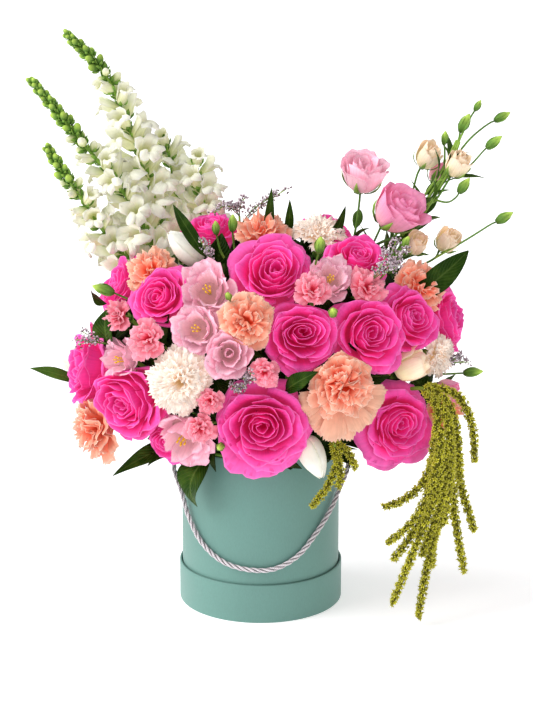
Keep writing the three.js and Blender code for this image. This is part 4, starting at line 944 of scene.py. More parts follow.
def stamens(place, rng):
    """Five yellow anthers on short threads round a green stigma, deep in an open bloom."""
    top = np.vstack([0.13 * spokes(2 * np.pi * np.arange(5) / 5 + rng.uniform(0, 6)), [[0, 0, 0.06]]])
    foot, end = put(top * [0.3, 0.3, 0] + [0, 0, -0.7], place), put(top, place)
    t = np.linspace(0, 1, 4)[None, :, None]
    threads = tubes(foot[:, None] + (end - foot)[:, None] * t, 0.014 * place.radius, 4, material=ANTHER)
    grain = turned([(0, -1), (0.6, -0.5), (0.6, 0.5), (0, 1)], 6, material=ANTHER)
    sizes = np.array([[0.06, 0.06, 0.1]] * 5 + [[0.05, 0.05, 0.08]]) * place.radius
    return [threads, repeat(grain, end, frames(np.repeat([place.facing], 6, 0)), sizes)]


def bud(middle, width, facing, line, rng):
    """A young bud on its thin stem: a turned spindle and five sepals that hug it."""
    place = place_at(np.asarray(middle, float) * MM, width / 2 * MM, facing)
    profile = [(0, -1.25), (0.36, -1.12), (0.66, -0.55), (0.74, 0.1), (0.56, 0.95), (0.26, 1.6), (0, 1.95)]
    body = turned(profile, 10, tone=rng.uniform(0.4, 0.9), material=YOUNG)
    body["points"] = put(body["points"], place)
    leaves = sepals(place, (0.3, -1.2), (0.46, 1.3), 0.4, 0, -0.16, rng)
    return [body, leaves, stem([place.middle / MM - facing * 1.2 * width / 2, *line], 0.9, 1.2, 20, 6)]


# Materials

def add(tree, kind, inputs=(), **options):
    """Adds a node, with its options by name. Inputs are given by socket, or in order from the first: a node
    or a socket there is linked, any other value is set. stops are the colours of a ramp."""
    made = tree.nodes.new("ShaderNode" + kind)
    for key, value in options.items():
        if key == "stops":
            ramp = made.color_ramp
            while len(ramp.elements) < len(value):
                ramp.elements.new(0.5)
            for element, (at, shade) in zip(ramp.elements, value):
                element.position = at
                element.color = (*shade, 1)
        else:
            setattr(made, key, value)
    for key, value in inputs.items() if isinstance(inputs, dict) else enumerate(inputs):
        if isinstance(value, bpy.types.Node):
            value = value.outputs[0]
        if isinstance(value, bpy.types.NodeSocket):
            tree.links.new(value, made.inputs[key])
        else:
            made.inputs[key].default_value = value
    return made


def mix(shade, other, share):
    """A colour between two."""
    return tuple(a + (b - a) * share for a, b in zip(shade, other))


def principled(tree, **shader):
    """Ends a material with one Principled shader: each of its sockets is linked or has a uniform value."""
    bsdf = add(tree, "BsdfPrincipled", {key.replace("_", " "): value for key, value in shader.items()})
    add(tree, "OutputMaterial", {"Surface": bsdf})


def marks_of(tree):
    """What a finish reads at a point: its place along and across its petal and the petal's layer, the
    petal's own tone, and the place in the object."""
    where = add(tree, "Attribute", attribute_name="petal")
    split = add(tree, "SeparateXYZ", [where.outputs["Vector"]])
    tone = add(tree, "Attribute", attribute_name="tone")
    space = add(tree, "TexCoord")
    return *split.outputs, tone.outputs["Fac"], space.outputs["Object"]


def shaded(tree, tint, *factors):
    """A colour made lighter or darker by the product of some factors."""
    value = factors[0]
    for factor in factors[1:]:
        value = add(tree, "Math", [value, factor], operation="MULTIPLY")
    return add(tree, "HueSaturation", {"Value": value, "Color": tint})


def petal_finish(tree, heart, body, rim, pale, veins, roughness, fade=0.5, glow=0.1, fold=0.0):
    """Living petal: waxy cells with a soft sheen, deep colour towards the petal's foot, partly its own colour
    and partly painted shade in the folds, a paler rim, fine lengthwise veins about 1 mm apart and slow
    blotches about 12 mm across. A weak emission of the petal's own colour is painted light: it stands in for
    daylight that comes through a thin petal from behind and lifts the folds so that they stay warm. fold
    moves the deep colour towards the rim, and fade is how pale the outer layers are."""
    along, across, layer, tone, space = marks_of(tree)
    run = add(tree, "ValToRGB", [along], stops=[
        (0.0, heart), (0.4 + fold, heart), (0.74 + fold, body), (0.955, mix(body, rim, 0.2)), (1.0, rim),
    ])
    outer = add(tree, "Math", [layer, fade], operation="MULTIPLY")
    paler = add(tree, "Mix", {0: outer, 6: run, 7: (*pale, 1)}, data_type="RGBA")
    stretch = add(tree, "CombineXYZ", [across, along, tone])
    wide = add(tree, "VectorMath", [stretch, (14.0, 1.6, 40.0)], operation="MULTIPLY")
    lines = add(tree, "TexNoise", {"Vector": wide, "Scale": 1.0, "Detail": 3.0})
    dark = add(tree, "MapRange", [lines, 0.35, 0.7, 1.0 + veins, 1.0 - veins])
    blotch = add(tree, "TexNoise", {"Vector": space, "Scale": 80.0, "Detail": 2.0})
    soft = add(tree, "MapRange", [blotch, 0.3, 0.7, 0.9, 1.08])
    each = add(tree, "MapRange", [tone, 0.0, 1.0, 0.9, 1.08])
    final = shaded(tree, paler.outputs[2], dark, soft, each)
    bump = add(tree, "Bump", {"Strength": 0.35, "Distance": 0.0006, "Height": lines})
    # Painted light: the emission of the petal's own colour lifts the shaded folds.
    principled(
        tree, Base_Color=final, Emission_Color=final, Emission_Strength=glow, Normal=bump,
        Roughness=roughness, IOR=1.4, Specular_IOR_Level=0.12,
    )


def leaf_finish(tree, green):
    """Fresh leaf: a waxy cuticle with a soft shine, a pale rib along the middle, slanted side veins about
    4 mm apart on a leaf 50 mm long, and darker and yellower patches."""
    along, across, _, tone, space = marks_of(tree)
    blotch = add(tree, "TexNoise", {"Vector": space, "Scale": 60.0, "Detail": 4.0})
    base = add(tree, "ValToRGB", [blotch], stops=[
        (0.25, mix(green, BLACK, 0.4)), (0.5, green), (0.8, mix(green, linear(0x7E9C3A), 0.22)),
    ])
    away = add(tree, "Math", [across], operation="ABSOLUTE")
    rib = add(tree, "MapRange", [away, 0.0, 0.12, 0.32, 0.0])
    slant = add(tree, "Math", [away, -0.28, along], operation="MULTIPLY_ADD")
    beat = add(tree, "Math", [slant, 75.0], operation="MULTIPLY")
    wave = add(tree, "Math", [beat], operation="SINE")
    vein = add(tree, "MapRange", [wave, 0.7, 1.0, 0.0, 0.09])
    lines = add(tree, "Math", [rib, vein], operation="MAXIMUM")
    pale = (*mix(green, linear(0x9FB860), 0.5), 1)
    drawn = add(tree, "Mix", {0: lines, 6: base, 7: pale}, data_type="RGBA")
    final = shaded(tree, drawn.outputs[2], add(tree, "MapRange", [tone, 0.0, 1.0, 0.75, 1.15]))
    bump = add(tree, "Bump", {"Strength": 0.4, "Distance": 0.0008, "Height": wave})
    principled(tree, Base_Color=final, Normal=bump, Roughness=0.42, IOR=1.42, Specular_IOR_Level=0.1)


def grain_finish(tree, dark, light, tip, roughness, deep=0.72, glow=0.1):
    """Small dry or fleshy grains, calyces and stems: colour runs from a dark foot to a light tip, which on
    the tassel grains is painted shade deep in the knot and a painted highlight on the point; each grain has
    its own random shade, down to deep, and a weak emission of its own colour is painted light that stands in
    for light coming through it."""
    along, _, _, tone, space = marks_of(tree)
    run = add(tree, "ValToRGB", [along], stops=[(0.0, dark), (0.5, light), (1.0, tip)])
    blotch = add(tree, "TexNoise", {"Vector": space, "Scale": 140.0, "Detail": 3.0})
    soft = add(tree, "MapRange", [blotch, 0.3, 0.7, 0.82, 1.15])
    each = add(tree, "MapRange", [tone, 0.0, 1.0, deep, 1.2])
    final = shaded(tree, run, soft, each)
    bump = add(tree, "Bump", {"Strength": 0.3, "Distance": 0.0004, "Height": blotch})
    # Painted light: the emission of the grain's own colour.
    principled(
        tree, Base_Color=final, Emission_Color=final, Emission_Strength=glow, Normal=bump,
        Roughness=roughness, Specular_IOR_Level=0.2,
    )


def card_finish(tree, shade):
    """Dyed wrapping paper glued on board: matt with a faint soft gloss, fibres under a millimetre drawn
    1.5 mm long so that they show, and slow clouds where the glue has drawn in."""
    space = add(tree, "TexCoord").outputs["Object"]
    mapped = add(tree, "Mapping", {"Vector": space, "Scale": (1.0, 1.0, 0.35)})
    fibre = add(tree, "TexNoise", {"Vector": mapped, "Scale": 900.0, "Detail": 3.0})
    cloud = add(tree, "TexNoise", {"Vector": space, "Scale": 18.0, "Detail": 3.0})
    fine = add(tree, "MapRange", [fibre, 0.3, 0.7, 0.965, 1.03])
    slow = add(tree, "MapRange", [cloud, 0.3, 0.7, 0.97, 1.03])
    gloss = add(tree, "MapRange", [cloud, 0.3, 0.7, 0.46, 0.58])
    bump = add(tree, "Bump", {"Strength": 0.15, "Distance": 0.0002, "Height": fibre})
    principled(
        tree, Base_Color=shaded(tree, (*shade, 1), fine, slow), Normal=bump, Roughness=gloss,
        IOR=1.45, Specular_IOR_Level=0.35, Sheen_Weight=0.1,
    )


def yarn_finish(tree, shade):
    """Twisted rayon cord: silky yarn, its plies about half a millimetre wide slanting across each strand,
    with painted shade between them and a painted highlight along them, and deep painted shade in the grooves
    between the strands."""
    along, across, _, tone, space = marks_of(tree)
    run = add(tree, "Math", [along, 1300.0], operation="MULTIPLY")
    slant = add(tree, "Math", [across, 9.4, run], operation="MULTIPLY_ADD")
    ply = add(tree, "Math", [slant], operation="SINE")
    blotch = add(tree, "TexNoise", {"Vector": space, "Scale": 300.0, "Detail": 2.0})
    uneven = add(tree, "Math", [ply, 0.3, blotch], operation="MULTIPLY_ADD")
    tint = add(tree, "ValToRGB", [uneven], stops=[
        (0.1, mix(shade, BLACK, 0.5)), (0.45, shade), (0.9, mix(shade, WHITE, 0.4)),
    ])
    # Painted shade: the yarn darkens to 0.14 of its colour deep in the grooves between the strands.
    groove = add(tree, "MapRange", [tone, 0.5, 0.92, 0.14, 1.0])
    bump = add(tree, "Bump", {"Strength": 0.5, "Distance": 0.0003, "Height": ply})
    principled(
        tree, Base_Color=shaded(tree, tint, groove), Normal=bump, Roughness=0.42, IOR=1.5,
        Sheen_Weight=0.5, Sheen_Roughness=0.3,
    )


def crumb_finish(tree, shade, scale, roughness):
    """Foam or film: cells or creases of a given scale, with painted shade where they go in and a faint
    painted highlight where they stand out.
    """
    space = add(tree, "TexCoord").outputs["Object"]
    cells = add(tree, "TexVoronoi", {"Vector": space, "Scale": scale})
    # Painted shade in the hollows of the cells and a faint painted highlight on their ridges.
    tint = add(tree, "ValToRGB", [cells], stops=[
        (0.0, mix(shade, BLACK, 0.5)), (0.5, shade), (1.0, mix(shade, WHITE, 0.08)),
    ])
    bump = add(tree, "Bump", {"Strength": 0.5, "Distance": 0.0006, "Height": cells})
    principled(tree, Base_Color=tint, Normal=bump, Roughness=roughness)


def sweep_finish(tree):
    """Matt painted sweep: nearly even white that glows a little."""
    space = add(tree, "TexCoord").outputs["Object"]
    grain = add(tree, "TexNoise", {"Vector": space, "Scale": 3.0})
    tint = add(tree, "ValToRGB", [grain], stops=[(0, linear(0xF6F6F7)), (1, linear(0xFBFBFC))])
    principled(
        tree, Base_Color=tint, Roughness=0.9, Specular_IOR_Level=0.1, Emission_Color=(1, 1, 1, 1),
        Emission_Strength=0.42,
    )


def recipes():
    """For each material, how it is made and from what. After its four colours a petal has its veins,
    roughness, fade, emission of painted light and fold, and grains have their roughness, deepest shade and
    emission of painted light after three."""
    p, b = settings().plants, settings().box

    def tint(shade, value, share):
        return mix(shade, linear(value), share)

    return {
        "wrapped card": (card_finish, b.card),
        "rayon yarn": (yarn_finish, b.cord),
        "liner film": (crumb_finish, b.liner, 120, 0.35),
        "wet foam": (crumb_finish, b.foam, 900, 0.9),
        "pale sweep": (sweep_finish,),
        "rose petal": (
            petal_finish, p.rose_heart, p.rose_petal, p.rose_rim, p.rose_rim, 0.07, 0.48, 0.3, 0.14,
        ),
        # The outer petals and the skirt of the peach carnations take a duller, darker beige: partly their own
        # paler colour and partly painted shade under the head.
        "peach petal": (
            petal_finish, p.peach_heart, p.peach_petal, p.peach_rim, linear(0xDDB298),
            0.05, 0.6, 0.42, 0.12, 0.14,
        ),
        "cream petal": (
            petal_finish, p.cream_heart, p.cream_petal, mix(p.cream_petal, WHITE, 0.4), p.cream_petal,
            0.04, 0.6, 0.4, 0.14,
        ),
        "pale pink petal": (
            petal_finish, tint(p.pale_pink, 0xB08068, 0.5), p.pale_pink, tint(p.pale_pink, 0xF06CA8, 0.5),
            p.pale_pink, 0.08, 0.5, 0.4, 0.1, -0.12,
        ),
        "clear pink petal": (
            petal_finish, tint(p.clear_pink, 0xEFE3B8, 0.45), p.clear_pink, tint(p.clear_pink, 0xEC5AAA, 0.5),
            p.clear_pink, 0.08, 0.5, 0.4,
        ),
        "blush petal": (
            petal_finish, linear(0xE4DC9C), linear(0xF8E2C2), linear(0xF8D2BC), linear(0xF8E6CE),
            0.06, 0.5, 0.4, 0.12,
        ),
        "spray petal": (
            petal_finish, p.spray_heart, p.spray_petal, mix(p.spray_petal, WHITE, 0.35), p.spray_petal,
            0.05, 0.6, 0.5,
        ),
        "white petal": (
            petal_finish, tint(p.white_petal, 0xF2F2CC, 0.5), p.white_petal, p.white_petal, p.white_petal,
            0.02, 0.45, 0.5, 0.08,
        ),
        "snapdragon petal": (
            petal_finish, linear(0xDADD92), tint(p.white_petal, 0xEAEAB4, 0.35), linear(0xF8F7EC),
            p.white_petal, 0.03, 0.45, 0.35, 0.1,
        ),
        "opening bud": (grain_finish, mix(p.stem, p.bud_green, 0.5), linear(0xDDE3A6), linear(0xF4F3DA), 0.5),
        "anther": (grain_finish, linear(0xB8B860), linear(0xE8B820), linear(0xF2C530), 0.7),
        "fresh leaf": (leaf_finish, p.leaf),
        # Painted shade: the leaf colour darkened by black, for leaves that fill the shaded gaps between
        # blooms.
        "painted shade leaf": (leaf_finish, mix(p.leaf, BLACK, 0.35)),
        "spray leaf": (leaf_finish, mix(p.leaf, p.stem, 0.4)),
        "stem green": (grain_finish, mix(p.stem, p.leaf, 0.5), p.stem, mix(p.stem, p.bud_green, 0.5), 0.5),
        "young bud": (grain_finish, mix(p.stem, p.leaf, 0.75), mix(p.stem, p.leaf, 0.2), p.bud_green, 0.5),
        # Painted shade and highlight: the tassel grains run from a dark olive foot, deep in the knot, to a
        # pale yellow point that stands in for light on the grain's tip.
        "tassel grain": (
            grain_finish, linear(0x767412), p.amaranthus, tint(p.amaranthus, 0xFFF6A0, 0.7), 0.75, 0.5,
        ),
        "sea lavender": (
            grain_finish, linear(0x5A4640), p.limonium, mix(p.limonium, WHITE, 0.4), 0.8, 0.5, 0.08,
        ),
    }


def blank(name):
    """A new material with no nodes in its tree."""
    material = bpy.data.materials.new(name)
    material.use_nodes = True
    material.node_tree.nodes.clear()
    return material


def finish(name):
    """The material of a name, made the first time that it is asked for."""
    if name not in bpy.data.materials:
        maker, *values = recipes()[name]
        maker(blank(name).node_tree, *values)
    return bpy.data.materials[name]


# Operators: one for each piece or group of like pieces

class FLOWERBOX_OT_camera(bpy.types.Operator):
    """Sets the camera a little above the blooms, in front of the box."""

    bl_idname = "flowerbox.camera"
    bl_label = "Camera"

    def execute(self, context):
        lens = bpy.data.cameras.new("camera")
        lens.lens = 118
        lens.sensor_width = 36
        lens.sensor_fit = "AUTO"
        lens.clip_start, lens.clip_end = 0.05, 60
        camera = bpy.data.objects.new("camera", lens)
        camera.location = (0.006, -2.25, 0.90)
        camera.rotation_euler = (math.radians(74), 0, 0)
        context.scene.collection.objects.link(camera)
        context.scene.camera = camera
        return {"FINISHED"}


def cord_route(body_radius):
    """Points on the cord's middle line, out of one hole, down across the front and into the other."""
    rows = np.array(CORD_LINE, float)
    a = np.radians(rows[:, 0])
    r = body_radius / MM + rows[:, 1]
    return through(np.stack([r * np.sin(a), -r * np.cos(a), rows[:, 2]], -1), 361) * MM


def strands(line, turns, offset, radius, sides=8):
    """Three strands that turn round a line as helices. A point's tone is 0 in the groove and 1 on the
    crown, and it sets the painted shade in the grooves."""
    t = unit(np.gradient(line, axis=0))
    u = unit(np.cross(t, np.array([0, -1.0, 0.35])))
    v = np.cross(t, u)
    turn = 2 * np.pi * turns * np.linspace(0, 1, len(line))
    lines = []
    for k in range(3):
        a = (turn + k * 2 * np.pi / 3)[:, None]
        lines.append(line + offset * (u * np.cos(a) + v * np.sin(a)))
    shape = tubes(lines, radius, sides)
    middle = np.concatenate([line[:1], np.repeat(line, sides, 0), line[-1:]])
    away = np.linalg.norm(shape["points"] - np.tile(middle, (3, 1)), axis=-1)
    shape["tone"] = np.clip((away - 0.55 * offset) / (0.45 * offset + 0.85 * radius), 0, 1)
    return shape


class FLOWERBOX_OT_cord(bpy.types.Operator):
    """Twists three strands along the cord's route, and ties a knot inside each wall."""

    bl_idname = "flowerbox.cord"
    bl_label = "Cord and knots"

    def execute(self, context):
        size = settings().sizes
        line = cord_route(size.body_radius)
        long = run_length(line)
        shape = strands(line, long / size.cord_lay, 0.26 * size.cord_diameter, 0.255 * size.cord_diameter)
        knots = [self.knot(side, size) for side in (-1, 1)]
        cord = build_piece("cord_twisted", [shape], ["rayon yarn"], "handle_cord")
        return {"FINISHED"}

    def knot(self, side, size):
        """A trefoil of cord: x and y are sums of two turns, z a third, and each has the cord's thickness."""
        a = np.linspace(0, 2 * np.pi, 61)
        thick = 0.36 * size.cord_diameter
        tight = (size.knot_radius - thick) / 3
        loop = np.stack([np.sin(3 * a), np.sin(a) + 2 * np.sin(2 * a), np.cos(a) - 2 * np.cos(2 * a)], -1)
        middle = size.body_radius - size.body_wall - 0.8 * MM - size.knot_radius
        loop = loop * tight + [side * middle, 0, HOLE_Z * MM]
        name = "knot_right" if side > 0 else "knot_left"
        return build_piece(f"tied_{name}", [tubes(loop, thick, 8, tone=0.8)], ["rayon yarn"], name)


def cup_walls(outer, inner, bottom, floor, top, bead, sides=96, seam=True):
    """A round box wall and floor: a profile up the outside, over a softly rounded edge of paper, down the
    inside and across the floor, carried round the axis. The wrap laps 8 mm over itself at the back, where
    the outside is 0.25 mm proud."""
    mid = (outer + inner) / 2
    half = (outer - inner) / 2
    arc = np.linspace(0, np.pi, 7)
    soft = np.linspace(-np.pi / 2, 0, 4)
    profile = [(outer - bead + bead * np.cos(a), bottom + bead + bead * np.sin(a)) for a in soft]
    profile += [(outer, bottom + (top - bottom) * k / 6) for k in range(1, 6)]
    profile += [(mid + half * np.cos(a), top - half + half * np.sin(a)) for a in arc]
    profile += [(inner, top - 12 * MM), (inner, bottom + floor + bead), (inner - bead, bottom + floor)]
    profile = np.array(profile)
    a = 2 * np.pi * np.arange(sides) / sides
    lap = 0.25 * MM * np.clip((4 * MM - np.abs(np.sin((a - np.pi / 2) / 2)) * 2 * outer) / MM + 1, 0, 1)
    outside = np.arange(len(profile)) < len(soft) + 5
    reach = profile[:, 0, None] + lap[None] * outside[:, None] * seam
    rings = np.stack(np.broadcast_arrays(reach * np.cos(a), reach * np.sin(a), profile[:, 1, None]), -1)
    return lofts(rings[None], np.array([[0, 0, bottom]]), np.array([[0, 0, bottom + floor]]))


class FLOWERBOX_OT_box(bpy.types.Operator):
    """Makes the card body and the lid under it, the liner and the foam block inside."""

    bl_idname = "flowerbox.box"
    bl_label = "Box, liner and foam"

    def execute(self, context):
        size = settings().sizes
        floor = 2.5 * MM
        body = cup_walls(
            size.body_radius, size.body_radius - size.body_wall, size.body_bottom, floor, size.body_top,
            bead=0.5 * MM,
        )
        hole = np.roll(3.4 * MM * spokes(np.linspace(0, 2 * np.pi, 33)), 1, 1)
        eyelets = [tubes(hole + [side * size.body_radius, 0, HOLE_Z * MM], 0.7 * MM, 8) for side in (-1, 1)]
        build_piece("body_card", [body, *eyelets], ["wrapped card"], "box_body")
        lid = cup_walls(
            size.lid_radius, size.lid_radius - size.lid_wall, 0, floor, size.lid_height, bead=0.6 * MM,
        )
        build_piece("lid_card", [lid], ["wrapped card"], "box_lid")
        liner = cup_walls(
            size.liner_radius, size.liner_radius - 1 * MM, bottom=5.6 * MM, floor=1.2 * MM,
            top=size.liner_top, bead=0.3 * MM, sides=72, seam=False,
        )
        build_piece("liner_film", [liner], ["liner film"], "foam_liner")
        r, top = size.foam_radius, size.foam_top
        low, soft = 7.1 * MM, 14 * MM
        arc = np.linspace(0, np.pi / 2, 5)
        profile = [(0, low), (r * 0.5, low), (r - 1 * MM, low), (r, low + 1 * MM)]
        profile += [(r, low + (top - soft - low) * k / 6) for k in range(1, 6)]
        profile += [(r - soft + soft * math.cos(a), top - soft + soft * math.sin(a)) for a in arc]
        profile += [(r * 0.4, top), (0, top)]
        build_piece("foam_block", [turned(profile, 48)], ["wet foam"], "floral_foam")
        return {"FINISHED"}


class FLOWERBOX_OT_roses(bpy.types.Operator):
    """Makes every rose with its hip, sepals and stem."""

    bl_idname = "flowerbox.roses"
    bl_label = "Roses"

    def execute(self, context):
        for node in nodes_of("rose"):
            rng = draws(node)
            index = members(node)[0]
            shapes = [rose(index, rng), *calyx(place_of(index), -1.0, 0.13, -0.84, 0.5, rng)]
            shapes.append(stem_of(index, 1.9)[0])
            build_piece(f"bloom_{node}", shapes, ("rose petal", "stem green"), node)
        return {"FINISHED"}


class FLOWERBOX_OT_carnations(bpy.types.Operator):
    """Makes the peach and cream carnations, and the small spray carnations."""

    bl_idname = "flowerbox.carnations"
    bl_label = "Carnations"

    def execute(self, context):
        count = settings().counts
        for node in nodes_of("carnation", "spray"):
            rng = draws(node)
            cream = "cream" in node
            small = node.startswith("spray")
            petal = "cream petal" if cream else "spray petal" if small else "peach petal"
            petals = count.spray_petals if small else count.carnation_petals + (CREAM_EXTRA if cream else 0)
            shapes, joint = [], None
            for index in members(node):
                shapes.append(carnation(index, rng, petals, cream))
                shapes += calyx(place_of(index), -0.97, 0.16, -0.4, 0.3, rng)
                stalk, first = stem_of(index, 1.4, joint)
                joint = first if joint is None else joint
                shapes.append(stalk)
            build_piece(f"bloom_{node}", shapes, (petal, "stem green"), node)
        return {"FINISHED"}


class FLOWERBOX_OT_lisianthus(bpy.types.Operator):
    """Makes the open lisianthus and the half-open ones at the right."""

    bl_idname = "flowerbox.lisianthus"
    bl_label = "Lisianthus"

    def execute(self, context):
        for node in nodes_of("trumpet", "goblet"):
            rng = draws(node)
            shut = SHUT_FACING.get(node)
            looks = ("blush petal" if shut else "pale pink petal", "stem green", "anther", "clear pink petal")
            shapes, joint = [], None
            for order, index in enumerate(members(node)):
                if shut:
                    place = place_at(CELLS.centre[index], 1.16 * CELLS.radius[index], aim(*shut[order]))
                    cup = cup_bloom(rng, CLOSED_WHORLS, place)
                    shapes += [dict(whorl, material=3 * order) for whorl in cup]
                elif BLOOMS[index].width == HALF_OPEN_WIDTH:
                    shapes += [*cup_bloom(rng, GOBLET_WHORLS, None, index), bell(index)]
                else:
                    shapes += [*cup_bloom(rng, TRUMPET_WHORLS, None, index), bell(index)]
                    shapes += stamens(place_of(index), rng)
                shapes += calyx(place_of(index), -1.05, 0.15, -0.9, 0.75, rng)
                stalk, first = stem_of(index, 1.4, joint)
                joint = first if joint is None else joint
                shapes.append(stalk)
            build_piece(f"bloom_{node}", shapes, looks, node)
        return {"FINISHED"}


def tulip(index, rng):
    """A closed tulip: three inner and three outer petals, each a long cubic that bulges and comes together
    at the tip."""
    shapes = []
    for k, wide in enumerate((0.94, 1.0)):
        turn = 2 * np.pi * (np.arange(3) + 0.5 * k) / 3
        control = controls(3, (0.12, -0.95), (1.22 * wide, -0.95), (1.14 * wide, 1.1), (0.08, 2.1))
        control[:, 3] += rng.uniform(-0.08, 0.08, (3, 2))
        local = cup_petals(
            turn, control, 1.04, 0.04, 0.03, 2.5, rng, rows=13, cols=9, round_off=0.2, helix=0.08,
        )
        points = put(local, place_of(index))
        shapes.append(sheets(points, 0.8 * MM, np.full(3, 0.5 + 0.5 * k), rng.uniform(0, 1, 3)))
    return shapes


class FLOWERBOX_OT_tulips(bpy.types.Operator):
    """Makes the white tulips."""

    bl_idname = "flowerbox.tulips"
    bl_label = "Tulips"

    def execute(self, context):
        for node in nodes_of("tulip"):
            index = members(node)[0]
            shapes = [*tulip(index, draws(node)), stem_of(index, 1.6)[0]]
            build_piece(f"bloom_{node}", shapes, ("white petal", "stem green"), node)
        return {"FINISHED"}


def floret(rng, opened):
    """A snapdragon floret along Z, one unit long, with Y up. Five petals share a tube. Two stand up and fold
    back as the upper lip. The middle lines of the three lower ones swing in over the throat, which makes the
    swelling that shuts it, and out again as the lower lip. The whole floret bends outwards by a parabola.
    opened runs from a shut bud to a wide mouth."""
    turn = np.radians([56, 124, 206, 270, 334])
    lower = np.array([0, 0, 1, 1, 1.0])
    rim = np.where(lower > 0, 0.5, 0.48) * (0.42 + 0.58 * opened)
    high = np.where(lower > 0, 0.74 + 0.26 * (1 - opened), 1.08)
    control = controls(
        5, (0.09, 0), (0.3 + 0.12 * lower, 0.08),
        (0.24 - 0.58 * lower * opened, 0.72 + 0.5 * lower * opened), (rim, high),
    )
    roll, wave = 0.12 * opened, 0.09 * opened
    local = cup_petals(
        turn, control, 0.8, roll, wave, 3.4, rng, rows=8, cols=7, round_off=0.24, helix=0.05, nick=0.02,
    )
    local[..., 1] -= 0.22 * np.clip(local[..., 2], 0, 1.2) ** 2
    return sheets(local, 0.03, 0.4 + 0.6 * lower, rng.uniform(0, 1, 5))


def snapdragon(line, root, start, widest, opened_to, rng):
    """A spike: florets stand out round the stem at golden angles, wide open below, half shut and pale
    further up, and green buds towards the tip, smaller and closer together until they make a cone. Each
    comes out of five pointed sepals on a short stalk."""
    last = 400
    axis = through(line, last + 1) * MM
    full = run_length(axis)
    foot = np.asarray(root, float) * MM
    below = foot + (axis[0] - foot) * np.linspace(0, 1, 7)[:-1, None]
    stalk = np.vstack([below, axis[::10]])
    shapes = [tubes(stalk, np.linspace(3.0, 1.2, len(stalk)) * MM, tone=0.9, material=GREEN)]
    profile = [(0, 0), (0.3, 0.06), (0.47, 0.3), (0.44, 0.62), (0.26, 0.88), (0, 0.98)]
    green_bud = turned(profile, 8, material=2)
    pale_bud = dict(green_bud, material=3)
    star = spokes(2 * np.pi * np.arange(5) / 5)
    cup = leaf_blades(
        star * 0.16, star * 0.64 + [0, 0, 0.74], 0.46, -star + [0, 0, 0.3], -0.2, rng, rows=4, cols=3,
        material=GREEN, thick=0.06,
    )
    at, k = start, 0
    while at < 0.998:
        here = axis[int(round(at * last))]
        tangent = unit(axis[min(int(at * last) + 4, last)] - axis[max(int(at * last) - 4, 0)])
        side = frames(tangent)[0]
        a = k * GOLDEN + rng.uniform(-0.2, 0.2)
        out = side[0] * math.cos(a) + side[1] * math.sin(a)
        tone = np.array([rng.uniform(0.1, 1)])
        if at < opened_to:
            share = (at - start) / (opened_to - start)
            long = widest * MM * (1.2 - 0.42 * share**2) * rng.uniform(0.92, 1.08)
            way = unit(out + rng.uniform(0.8, 1.3) * tangent)
            axes = frames(way, tangent)
            bloom = floret(rng, 1.0 - 0.66 * share**3)
            shapes.append(repeat(bloom, [here + way * 3 * MM], axes, [[long] * 3]))
            cup_size, step = 11 * MM, 7.6
        else:
            fall = (at - opened_to) / (1 - opened_to)
            long = (13.5 - 7 * fall) * MM * rng.uniform(0.9, 1.1)
            way = unit(out + (0.6 + 1.5 * fall**1.5 + rng.uniform(-0.1, 0.1)) * tangent)
            axes = frames(way, tangent)
            wide = long * (0.7 + 0.12 * fall)
            bloom = pale_bud if fall < 0.22 else green_bud
            shapes.append(repeat(bloom, [here + way * 2.6 * MM], axes, [[wide, wide, long]], tone))
            cup_size, step = 0.78 * long, 5.6 - 4.3 * fall**0.7
        shapes.append(repeat(cup, [here + way * 1.8 * MM], axes, [[cup_size] * 3], tone))
        shapes.append(tubes(np.linspace(here, here + way * 4 * MM, 3), 0.9 * MM, 5, material=GREEN))
        at += step * MM / full
        k += 1
    return shapes


class FLOWERBOX_OT_snapdragons(bpy.types.Operator):
    """Makes the five snapdragon spikes."""

    bl_idname = "flowerbox.snapdragons"
    bl_label = "Snapdragons"

    def execute(self, context):
        looks = ("snapdragon petal", "stem green", "young bud", "opening bud")
        for name, root, line, start, widest, opened_to in SPIKES:
            shapes = snapdragon(line, root, start, widest, opened_to, draws(name))
            build_piece(f"spike_{name}", shapes, looks, name)
        return {"FINISHED"}


